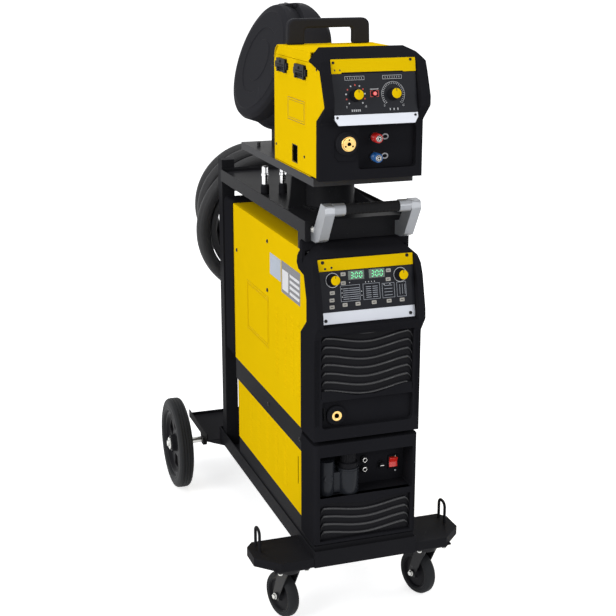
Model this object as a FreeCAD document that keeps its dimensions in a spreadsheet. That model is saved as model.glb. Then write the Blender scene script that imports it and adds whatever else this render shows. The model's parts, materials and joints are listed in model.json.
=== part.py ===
import FreeCAD, Part
import math
import os
import Sketcher
from FreeCAD import Placement, Rotation, Vector

# A water-cooled welding set on its cart: power source, cooler, wire feeder, spool and hose package.
# Millimetres, +Z up, +X to the right of someone who faces the front, front towards -Y.
# In this file y = 0 is the front edge of the yellow side covers. Every piece is then moved forward
# by centre_y, so that the finished part stands on z = 0 with its origin under its middle.

os.makedirs("parts", exist_ok=True)
doc = FreeCAD.newDocument("welding_cart")
sheet = doc.addObject("Spreadsheet::Sheet", "sizes")
doc.recompute()


class Size:
    """A number that also knows the expression it came from, so that objects can be bound to it."""

    def __init__(self, value, text):
        self.value = float(value)
        self.text = text

    def __add__(self, other):
        return Size(self.value + number(other), "(%s + %s)" % (self.text, words(other)))

    def __radd__(self, other):
        return Size(number(other) + self.value, "(%s + %s)" % (words(other), self.text))

    def __sub__(self, other):
        return Size(self.value - number(other), "(%s - %s)" % (self.text, words(other)))

    def __rsub__(self, other):
        return Size(number(other) - self.value, "(%s - %s)" % (words(other), self.text))

    def __mul__(self, other):
        return Size(self.value * number(other), "(%s * %s)" % (self.text, words(other)))

    def __rmul__(self, other):
        return Size(number(other) * self.value, "(%s * %s)" % (words(other), self.text))

    def __truediv__(self, other):
        return Size(self.value / number(other), "(%s / %s)" % (self.text, words(other)))

    def __neg__(self):
        return Size(-self.value, "(0 - %s)" % self.text)


def number(value):
    """The plain number of a size."""
    return value.value if isinstance(value, Size) else float(value)


def words(value):
    """The expression text of a size."""
    return value.text if isinstance(value, Size) else repr(float(value))


row_count = 0


def size(alias, value):
    """A driving dimension: one row of the spreadsheet."""
    global row_count
    row_count += 1
    sheet.set("A%d" % row_count, alias)
    sheet.set("B%d" % row_count, str(value))
    sheet.setAlias("B%d" % row_count, alias)
    return Size(value, "sizes." + alias)


# Driving dimensions: general
centre_y = size("centre_y", 470.75)
skin = size("skin", 2)
plate = size("plate", 3)
moulding = size("moulding", 4)
gap = size("running_gap", 0.4)
fit = size("shaft_clearance", 0.05)

# Cart base
tray_half = size("tray_half", 146)
tray_front = size("tray_front", -111)
tray_back = size("tray_back", 850)
tray_low = size("tray_low", 168)
tray_wall = size("tray_wall", 47)
wing_half = size("wing_half", 296)
wing_front = size("wing_front", -109)
wing_back = size("wing_back", 40)
wing_low = size("wing_low", 170)
wing_high = size("wing_high", 195)
wing_corner = size("wing_corner", 58)
loop_x = size("loop_x", 271)
loop_y = size("loop_y", -3)
loop_rod = size("loop_rod_radius", 4)
loop_half = size("loop_half_span", 19)
loop_high = size("loop_height", 64)
platform_half = size("platform_half", 190)
platform_back = size("platform_back", 1097)
platform_lip = size("platform_lip", 26)
seat_high = size("bottle_seat_height", 1)
axle_y = size("axle_y", 914)
wheel_radius = size("wheel_radius", 150)
wheel_x = size("wheel_x", 276)
wheel_width = size("wheel_width", 48)
rim_radius = size("rim_radius", 108)
axle_radius = size("axle_radius", 10)
column_half = size("column_half", 139)
column_width = size("column_width", 40)
column_front = size("column_front", 783)
column_back = size("column_back", 825)
column_top = size("column_top", 1118)

# Casters
caster_x = size("caster_x", 200)
caster_y = size("caster_y", -60)
caster_radius = size("caster_radius", 63)
caster_width = size("caster_width", 32)
caster_trail = size("caster_trail", 33)
caster_turn = size("caster_turn", 16)
caster_plate = size("caster_plate_half", 46)

# Top deck and push handle
deck_half = size("deck_half", 143)
deck_front = size("deck_front", -24)
deck_back = size("deck_back", 778)
deck_low = size("deck_low", 1053)
deck_high = size("deck_high", 1090)
deck_web = size("deck_web", 1078)
leg_depth = size("leg_depth", 56)
leg_width = size("leg_width", 30)
grip_half = size("grip_half", 72)
grip_y = size("grip_y", -113)
grip_z = size("grip_z", 1133)
grip_radius = size("grip_radius", 13.5)
arm_out = size("arm_out", 127)
arm_thick = size("arm_thick", 25)

# Power source
case_half = size("case_half", 143)
power_low = size("power_low", 522)
power_high = size("power_high", 1009)
power_deep = size("power_deep", 645)
front_half = size("front_half", 147)
front_y = size("front_y", -104)
recess_y = size("recess_y", -88)
recess_half = size("recess_half", 127)
face_top_y = size("face_top_y", -76)
face_top_z = size("face_top_z", 1002)
face_low_y = size("face_low_y", -111)
face_low_z = size("face_low_z", 838)
face_half = size("face_half", 130)
power_knob_x = size("power_knob_x", 92)
power_knob_z = size("power_knob_z", 948)
knob_radius = size("knob_radius", 15)
knob_high = size("knob_height", 24)
grille_low = size("grille_low", 640)
grille_high = size("grille_high", 828)
louvre_pitch = size("louvre_pitch", 23.4)
louvre_thick = size("louvre_thick", 8)
louvre_dip = size("louvre_dip", 20)
socket_x = size("socket_x", -82)
socket_z = size("socket_z", 588)
rear_deep = size("rear_deep", 88)

# Cooler
pan_deep = size("pan_deep", 617)
pan_half = size("pan_half", 142.5)
cooler_low = size("cooler_low", 268)
cooler_high = size("cooler_high", 456)
cooler_deep = size("cooler_deep", 617)
cooler_front_low = size("cooler_front_low", 230)
cooler_front_high = size("cooler_front_high", 512)
bay_low = size("bay_low", 362)
bay_high = size("bay_high", 466)
bay_floor = size("bay_floor", -40)
neck_x = size("neck_x", -40)
neck_y = size("neck_y", -71)
neck_radius = size("neck_radius", 29)
cap_radius = size("cap_radius", 21)
cap_low = size("cap_low", 436)
cap_high = size("cap_high", 478)
switch_x = size("switch_x", 102)
switch_z = size("switch_z", 412)

# Wire feeder
feed_half = size("feed_half", 131)
feed_low = size("feed_low", 1204)
feed_high = size("feed_high", 1508)
feed_back = size("feed_back", 261)
feed_front_half = size("feed_front_half", 136)
feed_front_y = size("feed_front_y", -108)
feed_face_top_y = size("feed_face_top_y", -109)
feed_face_top_z = size("feed_face_top_z", 1498)
feed_face_low_y = size("feed_face_low_y", -144)
feed_face_low_z = size("feed_face_low_z", 1340)
feed_face_half = size("feed_face_half", 109)
door_low = size("door_low", 1207)
door_high = size("door_high", 1482)
euro_x = size("euro_x", -65)
euro_z = size("euro_z", 1295)
coupler_x = size("coupler_x", 10)
red_z = size("red_z", 1306)
blue_z = size("blue_z", 1258)
feed_knob_left = size("feed_knob_left", -51)
feed_knob_right = size("feed_knob_right", 46)
feed_knob_z = size("feed_knob_z", 1411)
feed_tray_front = size("feed_tray_front", -60)
feed_tray_back = size("feed_tray_back", 580)
feed_tray_half = size("feed_tray_half", 133)
feed_tray_low = size("feed_tray_low", 1183)
swivel_y = size("swivel_y", 190)
pedestal_radius = size("pedestal_radius", 67)
spindle_radius = size("spindle_radius", 18)
handle_y = size("feed_handle_y", 213)
handle_half = size("feed_handle_half", 111)
handle_high = size("feed_handle_high", 1574)

# Spool and its cover, in a frame whose X runs along the spindle
drum_radius = size("drum_radius", 164)
drum_deep = size("drum_deep", 138)
drum_tilt = size("drum_tilt", 19.4)
drum_turn = size("drum_turn", 5.5)
drum_x = size("drum_x", -119)
drum_y = size("drum_y", 446)
drum_z = size("drum_z", 1450)
lid_deep = size("lid_deep", 46)
spool_radius = size("spool_radius", 150)
spool_width = size("spool_width", 98)
hub_radius = size("hub_radius", 25)

# Hose package: plain numbers, because its route is worked out point by point
hose_diameter = 44.0
hose_x = -10.0
hose_z = 573.0
plug_long = 68.0
hose_first = 36.0
hose_pitch = 46.5
hose_turns = 3.25
hose_big = 257.0
hose_big_x = 70.0
hose_big_z = 830.0
hose_small = 178.0
hose_small_x = 24.0
hose_small_z = 940.0
lead_radius = 80.0
peg_radius = 16.0
peg_x = 40.0
peg_z = 1040.0

doc.recompute()


# Drawing helpers

def plane_of(body, role):
    """One of the body's own origin planes or axes."""
    for feature in body.Origin.OriginFeatures:
        if feature.Role == role:
            return feature
    raise ValueError(role)


def new_body(name, x=0, y=0, z=0, turn=None):
    """A body placed at (x, y, z) and turned, then moved to the part's own origin."""
    body = doc.addObject("PartDesign::Body", name)
    body.Placement = Placement(Vector(0, 0, 0), turn if turn else Rotation())
    body.setExpression("Placement.Base.x", words(x + 0 * centre_y))
    body.setExpression("Placement.Base.y", words(y - centre_y))
    body.setExpression("Placement.Base.z", words(z + 0 * centre_y))
    return body


def new_sketch(body, plane, at):
    """A sketch on plane XY, XZ or YZ of the body, at that distance along +Z, +Y or +X."""
    sketch = body.newObject("Sketcher::SketchObject", "Sketch")
    sketch.AttachmentSupport = [(plane_of(body, plane + "_Plane"), "")]
    sketch.MapMode = "FlatFace"
    offset = -at if plane == "XZ" else at
    if isinstance(offset, Size):
        sketch.AttachmentOffset = Placement(Vector(0, 0, offset.value), Rotation())
        sketch.setExpression("AttachmentOffset.Base.z", offset.text)
    else:
        sketch.AttachmentOffset = Placement(Vector(0, 0, offset), Rotation())
    return sketch


def hold(sketch, kind, geometry, point, value):
    """Fix one coordinate of a sketch point to a size."""
    if isinstance(value, Size) and abs(value.value) > 1e-9:
        index = sketch.addConstraint(Sketcher.Constraint(kind, -1, 1, geometry, point, value.value))
        sketch.setExpression("Constraints[%d]" % index, value.text)
    elif abs(number(value)) > 1e-9:
        sketch.addConstraint(Sketcher.Constraint(kind, -1, 1, geometry, point, number(value)))
    else:
        axis = -2 if kind == "DistanceX" else -1
        sketch.addConstraint(Sketcher.Constraint("PointOnObject", geometry, point, axis))


def outline(sketch, corners):
    """A closed outline. A corner is (x, y) or (x, y, radius), given counter-clockwise or clockwise."""
    count = len(corners)
    points = [Vector(number(corner[0]), number(corner[1]), 0) for corner in corners]
    arrive, leave = [], []
    for i, corner in enumerate(corners):
        if len(corner) < 3:
            arrive.append(points[i])
            leave.append(points[i])
            continue
        back = (points[i - 1] - points[i]).normalize()
        ahead = (points[(i + 1) % count] - points[i]).normalize()
        run = number(corner[2]) / math.tan(back.getAngle(ahead) / 2)
        arrive.append(points[i] + back * run)
        leave.append(points[i] + ahead * run)
    first = sketch.GeometryCount
    for i in range(count):
        sketch.addGeometry(Part.LineSegment(leave[i], arrive[(i + 1) % count]), False)
    for i, corner in enumerate(corners):
        line_in = first + (i - 1) % count
        line_out = first + i
        if len(corner) < 3:
            sketch.addConstraint(Sketcher.Constraint("Coincident", line_in, 2, line_out, 1))
            hold(sketch, "DistanceX", line_out, 1, corner[0])
            hold(sketch, "DistanceY", line_out, 1, corner[1])
            continue
        mark = sketch.addGeometry(Part.Point(points[i]), True)
        hold(sketch, "DistanceX", mark, 1, corner[0])
        hold(sketch, "DistanceY", mark, 1, corner[1])
        sketch.addConstraint(Sketcher.Constraint("PointOnObject", mark, 1, line_in))
        sketch.addConstraint(Sketcher.Constraint("PointOnObject", mark, 1, line_out))
        middle = arrive[i] + leave[i] - points[i] * 2
        inward = middle.normalize()
        reach = math.hypot(number(corner[2]), arrive[i].distanceToPoint(points[i]))
        centre = points[i] + inward * reach
        begin = math.atan2(arrive[i].y - centre.y, arrive[i].x - centre.x)
        end = math.atan2(leave[i].y - centre.y, leave[i].x - centre.x)
        left_turn = ((end - begin) % (2 * math.pi)) < math.pi
        start, stop = (begin, end) if left_turn else (end, begin)
        circle = Part.Circle(centre, Vector(0, 0, 1), number(corner[2]))
        arc = sketch.addGeometry(Part.ArcOfCircle(circle, start, stop), False)
        arc_in, arc_out = (1, 2) if left_turn else (2, 1)
        sketch.addConstraint(Sketcher.Constraint("Tangent", line_in, 2, arc, arc_in))
        sketch.addConstraint(Sketcher.Constraint("Tangent", arc, arc_out, line_out, 1))
        index = sketch.addConstraint(Sketcher.Constraint("Radius", arc, number(corner[2])))
        if isinstance(corner[2], Size):
            sketch.setExpression("Constraints[%d]" % index, corner[2].text)


def ring(sketch, x, y, radius):
    """A circle bound to its centre and radius."""
    circle = Part.Circle(Vector(number(x), number(y), 0), Vector(0, 0, 1), number(radius))
    geometry = sketch.addGeometry(circle, False)
    hold(sketch, "DistanceX", geometry, 3, x)
    hold(sketch, "DistanceY", geometry, 3, y)
    index = sketch.addConstraint(Sketcher.Constraint("Radius", geometry, number(radius)))
    if isinstance(radius, Size):
        sketch.setExpression("Constraints[%d]" % index, radius.text)


def draw(sketch, shapes):
    """Each shape is a list of corners, or a circle as (x, y, radius)."""
    for shape in shapes:
        if isinstance(shape, tuple):
            ring(sketch, *shape)
        else:
            outline(sketch, shape)


def volume_now(body):
    """The body's volume so far."""
    return body.Shape.Volume if not body.Shape.isNull() else 0.0


def finish_feature(body, feature, length, grows):
    """Bind the feature's length, and check that it really added or removed material."""
    before = volume_now(body)
    feature.Length = number(length)
    if isinstance(length, Size):
        feature.setExpression("Length", length.text)
    doc.recompute()
    after = volume_now(body)
    if (after <= before) if grows else (after >= before):
        raise ValueError("%s: %s changed nothing" % (body.Label, feature.Name))
    return feature


def slab(body, plane, shapes, low, high):
    """Material between two heights over a plane."""
    sketch = new_sketch(body, plane, high if plane == "XZ" else low)
    draw(sketch, shapes)
    feature = body.newObject("PartDesign::Pad", "Pad")
    feature.Profile = sketch
    return finish_feature(body, feature, high - low, True)


def carve(body, plane, shapes, low, high):
    """A pocket between two heights over a plane."""
    sketch = new_sketch(body, plane, low if plane == "XZ" else high)
    draw(sketch, shapes)
    feature = body.newObject("PartDesign::Pocket", "Pocket")
    feature.Profile = sketch
    return finish_feature(body, feature, high - low, False)


def turned(body, corners, axis="H_Axis"):
    """A solid of revolution: an outline in the XZ plane about the body's X or Z axis."""
    sketch = new_sketch(body, "XZ", 0)
    outline(sketch, corners)
    feature = body.newObject("PartDesign::Revolution", "Revolution")
    feature.Profile = sketch
    feature.ReferenceAxis = (sketch, [axis])
    feature.Angle = 360
    doc.recompute()
    return feature


def repeat(body, feature, role, reach, count, reverse=False):
    """Copies of a feature along one of the body's axes."""
    pattern = body.newObject("PartDesign::LinearPattern", "Pattern")
    pattern.Originals = [feature]
    pattern.Direction = (plane_of(body, role), [""])
    pattern.Reversed = reverse
    pattern.Length = number(reach)
    if isinstance(reach, Size):
        pattern.setExpression("Length", reach.text)
    pattern.Occurrences = count
    body.Tip = pattern
    doc.recompute()
    return pattern


def around(body, feature, role, count):
    """Copies of a feature in a full circle."""
    pattern = body.newObject("PartDesign::PolarPattern", "Pattern")
    pattern.Originals = [feature]
    pattern.Axis = (plane_of(body, role), [""])
    pattern.Angle = 360
    pattern.Occurrences = count
    body.Tip = pattern
    doc.recompute()
    return pattern


def rect(x0, x1, y0, y1, radius=None):
    """Four corners."""
    corners = [(x0, y0), (x1, y0), (x1, y1), (x0, y1)]
    if radius is None:
        return corners
    return [corner + (radius,) for corner in corners]


def cuboid(name, x0, x1, y0, y1, z0, z1):
    """A Part box between two corners, in this file's frame."""
    piece = doc.addObject("Part::Box", name)
    for prop, value in (("Length", x1 - x0), ("Width", y1 - y0), ("Height", z1 - z0)):
        setattr(piece, prop, number(value))
        piece.setExpression(prop, words(value))
    piece.setExpression("Placement.Base.x", words(x0))
    piece.setExpression("Placement.Base.y", words(y0 - centre_y))
    piece.setExpression("Placement.Base.z", words(z0))
    return piece


AXIS_TURN = {"X": Rotation(Vector(0, 1, 0), 90), "Y": Rotation(Vector(1, 0, 0), -90), "Z": Rotation()}


def rod(name, axis, x, y, z, radius, length):
    """A Part cylinder from (x, y, z) along +X, +Y or +Z."""
    piece = doc.addObject("Part::Cylinder", name)
    piece.Radius = number(radius)
    piece.setExpression("Radius", words(radius))
    piece.Height = number(length)
    piece.setExpression("Height", words(length))
    piece.Placement = Placement(Vector(0, 0, 0), AXIS_TURN[axis])
    piece.setExpression("Placement.Base.x", words(x))
    piece.setExpression("Placement.Base.y", words(y - centre_y))
    piece.setExpression("Placement.Base.z", words(z))
    return piece


def join(name, pieces):
    """One solid from touching or overlapping pieces."""
    result = doc.addObject("Part::MultiFuse", name)
    result.Shapes = pieces
    result.Refine = True
    return result


def take_away(name, base, tool):
    """A cut."""
    result = doc.addObject("Part::Cut", name)
    result.Base = base
    result.Tool = tool
    result.Refine = True
    return result


def group(name, pieces):
    """Separate solids that share one node."""
    result = doc.addObject("Part::Compound", name)
    result.Links = pieces
    return result


def mirrored(name, piece):
    """The piece on the other side of the mid-plane x = 0."""
    result = doc.addObject("Part::Mirroring", name)
    result.Source = piece
    result.Base = Vector(0, 0, 0)
    result.Normal = Vector(1, 0, 0)
    return result


nodes = {}


def node(label, piece):
    """Register a finished sub-part under the name of its file."""
    piece.Label = label
    nodes[label] = piece
    return piece


def lean_y(z, top_y, top_z, low_y, low_z):
    """Where a leaning face stands at height z."""
    return top_y + (low_y - top_y) * ((top_z - z) / (top_z - low_z))


def power_face(z):
    """The control face of the power source."""
    return lean_y(z, face_top_y, face_top_z, face_low_y, face_low_z)


def feeder_face(z):
    """The control face of the wire feeder."""
    return lean_y(z, feed_face_top_y, feed_face_top_z, feed_face_low_y, feed_face_low_z)


def leaning_strip(body, face, half, low, high, lift, thick):
    """A flat strip standing on a leaning face."""
    back_low, back_high = face(low) - lift, face(high) - lift
    corners = [(back_low, low), (back_high, high), (back_high - thick, high), (back_low - thick, low)]
    return slab(body, "YZ", [corners], -half, half)


# Cart base

def make_base_tray():
    """The long tray that carries the cooler and the power source."""
    body = new_body("base_tray")
    high = tray_low + tray_wall
    slab(body, "XY", [rect(-tray_half, tray_half, tray_front, tray_back)], tray_low, high)
    inner = rect(-tray_half + plate, tray_half - plate, tray_front + plate, tray_back - plate)
    carve(body, "XY", [inner], tray_low + plate, high)
    return node("base_tray", body)


def make_wings():
    """Two cross wings welded to the tray, each with its tie-down loop."""
    body = new_body("wing_right")
    edge = [
        (tray_half, wing_front),
        (wing_half - wing_corner, wing_front),
        (wing_half, wing_front + wing_corner),
        (wing_half, 15),
        (wing_half - 20, wing_back),
        (tray_half, wing_back),
    ]
    slab(body, "XY", [edge], wing_low, wing_high)
    inner = [
        (tray_half + plate, wing_front + plate),
        (wing_half - wing_corner - 1.3, wing_front + plate),
        (wing_half - plate, wing_front + wing_corner + 1.3),
        (wing_half - plate, 14),
        (wing_half - 21.5, wing_back - plate),
        (tray_half + plate, wing_back - plate),
    ]
    carve(body, "XY", [inner], wing_low, wing_high - plate)
    floor = rect(tray_half + plate, caster_x + caster_plate + 8, wing_front + plate, -8)
    slab(body, "XY", [floor], wing_low, wing_low + 4)
    base = new_sketch(body, "XY", wing_high)
    ring(base, loop_x, loop_y - loop_half, loop_rod)
    path = new_sketch(body, "YZ", loop_x)
    top = wing_high + loop_high - loop_rod
    bend = 15
    left = loop_y - loop_half
    right = loop_y + loop_half
    geo_up = path.addGeometry(Part.LineSegment(Vector(left.value, wing_high.value, 0),
                                               Vector(left.value, top.value - bend, 0)), False)
    centre_left = Vector(left.value + bend, top.value - bend, 0)
    arc_left = path.addGeometry(Part.ArcOfCircle(
        Part.Circle(centre_left, Vector(0, 0, 1), bend), math.pi / 2, math.pi), False)
    geo_top = path.addGeometry(Part.LineSegment(Vector(left.value + bend, top.value, 0),
                                                Vector(right.value - bend, top.value, 0)), False)
    centre_right = Vector(right.value - bend, top.value - bend, 0)
    arc_right = path.addGeometry(Part.ArcOfCircle(
        Part.Circle(centre_right, Vector(0, 0, 1), bend), 0, math.pi / 2), False)
    geo_down = path.addGeometry(Part.LineSegment(Vector(right.value, top.value - bend, 0),
                                                 Vector(right.value, wing_high.value, 0)), False)
    path.addConstraint(Sketcher.Constraint("Tangent", geo_up, 2, arc_left, 2))
    path.addConstraint(Sketcher.Constraint("Tangent", arc_left, 1, geo_top, 1))
    path.addConstraint(Sketcher.Constraint("Tangent", geo_top, 2, arc_right, 2))
    path.addConstraint(Sketcher.Constraint("Tangent", arc_right, 1, geo_down, 1))
    path.addConstraint(Sketcher.Constraint("Vertical", geo_up))
    path.addConstraint(Sketcher.Constraint("Horizontal", geo_top))
    path.addConstraint(Sketcher.Constraint("Equal", arc_left, arc_right))
    path.addConstraint(Sketcher.Constraint("Radius", arc_left, bend))
    hold(path, "DistanceX", geo_up, 1, left)
    hold(path, "DistanceY", geo_up, 1, wing_high)
    hold(path, "DistanceX", geo_down, 2, right)
    hold(path, "DistanceY", geo_down, 2, wing_high)
    hold(path, "DistanceY", geo_top, 1, top)
    pipe = body.newObject("PartDesign::AdditivePipe", "Loop")
    pipe.Profile = base
    pipe.Spine = path
    doc.recompute()
    return node("caster_wings", group("wings", [body, mirrored("wing_left", body)]))


def make_caster_plates():
    """The fixed halves of both swivels: bolted plate, ball race and king pin."""
    pair = []
    for side, sign in (("right", 1), ("left", -1)):
        body = new_body("caster_plate_" + side, x=caster_x * sign, y=caster_y)
        slab(body, "XY", [rect(-caster_plate, caster_plate, -caster_plate, caster_plate, 8)],
             wing_low - 4, wing_low)
        slab(body, "XY", [(0, 0, 32)], wing_low - 11, wing_low - 4)
        slab(body, "XY", [(0, 0, 8 - fit)], wing_low - 30, wing_low - 11)
        slab(body, "XY", [(0, 0, 13)], wing_low - 31, wing_low - 21.4)
        bolts = [(x, y, 6) for x in (-37, 37) for y in (-37, 37)]
        slab(body, "XY", bolts, wing_low - 8, wing_low - 4)
        pair.append(body)
    return node("caster_plates", group("swivel_plates", pair))


def make_caster(side, sign):
    """One swivelling fork and its wheel, resting with the wheel trailing backwards."""
    turn = Rotation(Vector(0, 0, 1), number(caster_turn))
    fork = new_body("fork_" + side, x=caster_x * sign, y=caster_y, turn=turn)
    fork.setExpression("Placement.Rotation.Angle", caster_turn.text)
    crown_top = wing_low - 11 - gap
    crown_low = wing_low - 21
    leg = caster_width / 2 + 2
    slab(fork, "XY", [(0, 0, 30)], crown_low, crown_top)
    sides = [
        (-21, crown_low),
        (21, crown_low),
        (caster_trail + 15, caster_radius + 6, 8),
        (caster_trail + 11, caster_radius - 12, 8),
        (caster_trail - 11, caster_radius - 12, 8),
        (caster_trail - 16, caster_radius + 8, 10),
    ]
    slab(fork, "YZ", [sides], leg, leg + plate)
    slab(fork, "YZ", [sides], -leg - plate, -leg)
    slab(fork, "YZ", [(caster_trail, caster_radius, 6)], -leg - plate, leg + plate)
    slab(fork, "YZ", [(caster_trail, caster_radius, 9)], leg + plate, leg + plate + 4)
    slab(fork, "YZ", [(caster_trail, caster_radius, 9)], -leg - plate - 4, -leg - plate)
    carve(fork, "XY", [(0, 0, 8)], crown_low, crown_top)
    node("caster_fork_" + side, fork)

    wheel = new_body("wheel_" + side, turn=turn)
    wheel.setExpression("Placement.Rotation.Angle", caster_turn.text)
    spin = "(%s)" % caster_turn.text
    base_x = words(caster_x * sign)
    wheel.setExpression("Placement.Base.x", "%s - %s * sin(%s)" % (base_x, caster_trail.text, spin))
    wheel.setExpression("Placement.Base.y", "%s + %s * cos(%s)" % (
        words(caster_y - centre_y), caster_trail.text, spin))
    wheel.setExpression("Placement.Base.z", caster_radius.text)
    half = caster_width / 2
    hub = caster_radius - 17
    profile = [
        (-half - 1.6, 6 + fit),
        (half + 1.6, 6 + fit),
        (half + 1.6, 15, 2),
        (half - 7, 19, 4),
        (half - 7, hub, 4),
        (half, hub + 3, 2),
        (half, caster_radius, 9),
        (-half, caster_radius, 9),
        (-half, hub + 3, 2),
        (-half + 7, hub, 4),
        (-half + 7, 19, 4),
        (-half - 1.6, 15, 2),
    ]
    turned(wheel, profile)
    node("caster_wheel_" + side, wheel)


def make_rear_wheel(side, sign):
    """One spoked hub with its solid tyre."""
    body = new_body("rear_wheel_" + side, x=wheel_x * sign, y=axle_y, z=wheel_radius)
    half = wheel_width / 2
    web = 5
    profile = [
        (-half, axle_radius + fit),
        (half, axle_radius + fit),
        (half, 26, 4),
        (web, 30, 6),
        (web, rim_radius - 18, 8),
        (half - 8, rim_radius - 8, 3),
        (half - 8, rim_radius, 2),
        (half, rim_radius + 6, 3),
        (half, wheel_radius, 16),
        (-half, wheel_radius, 16),
        (-half, rim_radius + 6, 3),
        (-half + 8, rim_radius, 2),
        (-half + 8, rim_radius - 8, 3),
        (-web, rim_radius - 18, 8),
        (-web, 30, 6),
        (-half, 26, 4),
    ]
    turned(body, profile)
    slot = [(-17, 44, 6), (17, 44, 6), (23, 84, 6), (-23, 84, 6)]
    window = carve(body, "YZ", [slot], -half, half)
    around(body, window, "X_Axis", 6)
    node("rear_wheel_" + side, body)


def make_rear_platform():
    """The low plate behind the columns for a gas bottle, with the lugs that hold the axle."""
    body = new_body("rear_platform")
    low = tray_low - plate
    edge = [
        (-tray_half, 800),
        (tray_half, 800),
        (platform_half, tray_back),
        (platform_half, platform_back),
        (-platform_half, platform_back),
        (-platform_half, tray_back),
    ]
    slab(body, "XY", [edge], low, tray_low)
    seat = [
        (-platform_half + plate, tray_back + gap),
        (-platform_half + plate, platform_back - plate),
        (platform_half - plate, platform_back - plate),
        (platform_half - plate, tray_back + gap),
    ]
    slab(body, "XY", [seat], tray_low, tray_low + seat_high)
    lip = low + platform_lip
    slab(body, "XY", [rect(-platform_half, -platform_half + plate, tray_back, platform_back)], low, lip)
    slab(body, "XY", [rect(platform_half - plate, platform_half, tray_back, platform_back)], low, lip)
    back = rect(-platform_half, platform_half, platform_back - plate, platform_back)
    slab(body, "XY", [back], low, low + 14)
    lug = [(axle_y - 24, low), (axle_y + 24, low), (axle_y + 15, wheel_radius - 18, 10),
           (axle_y - 15, wheel_radius - 18, 10)]
    slab(body, "YZ", [lug], 140, 152)
    slab(body, "YZ", [lug], -152, -140)
    slab(body, "YZ", [lug], platform_half - 12, platform_half)
    slab(body, "YZ", [lug], -platform_half, -platform_half + 12)
    carve(body, "YZ", [(axle_y, wheel_radius, axle_radius)], -platform_half, platform_half)
    return node("rear_platform", body)


def make_rear_axle():
    """A solid axle with its washers and end nuts."""
    body = new_body("rear_axle", y=axle_y, z=wheel_radius)
    inner = wheel_x - wheel_width / 2 - gap
    outer = wheel_x + wheel_width / 2 + gap
    tip = outer + 10
    profile = [
        (-tip, 0),
        (tip, 0),
        (tip, 10, 2),
        (outer + 4, 10),
        (outer + 4, 20),
        (outer, 20),
        (outer, axle_radius),
        (inner, axle_radius),
        (inner, 18),
        (inner - 8, 18),
        (inner - 8, axle_radius),
        (-inner + 8, axle_radius),
        (-inner + 8, 18),
        (-inner, 18),
        (-inner, axle_radius),
        (-outer, axle_radius),
        (-outer, 20),
        (-outer - 4, 20),
        (-outer - 4, 10),
        (-tip, 10, 2),
    ]
    turned(body, profile)
    return node("rear_axle", body)


def make_columns():
    """Two folded posts that stand in the tray, and the hanger plate with its hose pegs."""
    body = new_body("column_right")
    inner = column_half - column_width
    low = tray_low + plate
    slab(body, "XY", [rect(inner, column_half, column_front, column_back)], low, column_top)
    hollow = rect(inner, column_half - 4, column_front + 4, column_back - 4)
    carve(body, "XY", [hollow], low, column_top)
    slab(body, "XY", [rect(inner, column_half, column_front, column_back)], low, low + 5)
    slab(body, "XY", [rect(inner, column_half, column_front, column_back)], column_top - 4, column_top)
    hanger = new_body("hose_hanger")
    slab(hanger, "XZ", [rect(-column_half, column_half, 1010, 1085, 6)], column_back, column_back + 4)
    slab(hanger, "XZ", [(peg_x, peg_z, peg_radius)], column_back + 4, column_back + 200)
    slab(hanger, "XZ", [(peg_x, peg_z, peg_radius + 10)], column_back + 200, column_back + 205)
    return node("rear_columns", group("columns", [body, mirrored("column_left", body), hanger]))


def make_top_deck():
    """The deck over the power source, with its rims and front posts."""
    body = new_body("top_deck")
    slab(body, "XY", [rect(-deck_half, deck_half, deck_front, column_front)], deck_web, deck_web + plate)
    for low, high in ((-deck_half, -deck_half + plate), (deck_half - plate, deck_half)):
        slab(body, "XY", [rect(low, high, deck_front, column_front)], deck_low, deck_high)
    slab(body, "XY", [rect(-deck_half, deck_half, deck_front, deck_front + plate)], deck_low - 16, deck_high)
    back = rect(-deck_half, deck_half, column_front - plate, column_front)
    slab(body, "XY", [back], deck_low, deck_high)
    post = deck_front + leg_depth
    for low, high in ((-deck_half, -deck_half + leg_width), (deck_half - leg_width, deck_half)):
        slab(body, "XY", [rect(low, high, deck_front + plate, post)], deck_low - 15, deck_web)
        slab(body, "XY", [rect(low, high, deck_front + 32, post)], power_high, deck_low - 15)
    return node("top_deck", body)


def make_handle():
    """The push handle: a straight grip between two cast arms bolted to the deck."""
    body = new_body("arm_right")
    inner = arm_out - arm_thick
    arm = [
        (deck_front, deck_low - 13),
        (deck_front, deck_high - 14),
        (-48, deck_high - 12, 14),
        (grip_y + 16, grip_z + 15, 6),
        (grip_y - 14, grip_z + 13, 8),
        (grip_y - 18, grip_z - 8, 8),
        (-84, deck_low - 3, 10),
        (-60, deck_low - 12, 8),
    ]
    slab(body, "YZ", [arm], inner, arm_out)
    slab(body, "YZ", [(grip_y, grip_z, grip_radius + 2.5)], grip_half, inner)
    node("handle_castings", group("arms", [body, mirrored("arm_left", body)]))
    grip = rod("grip", "X", -grip_half, grip_y, grip_z, grip_radius, grip_half * 2)
    return node("handle_grip", grip)


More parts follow.
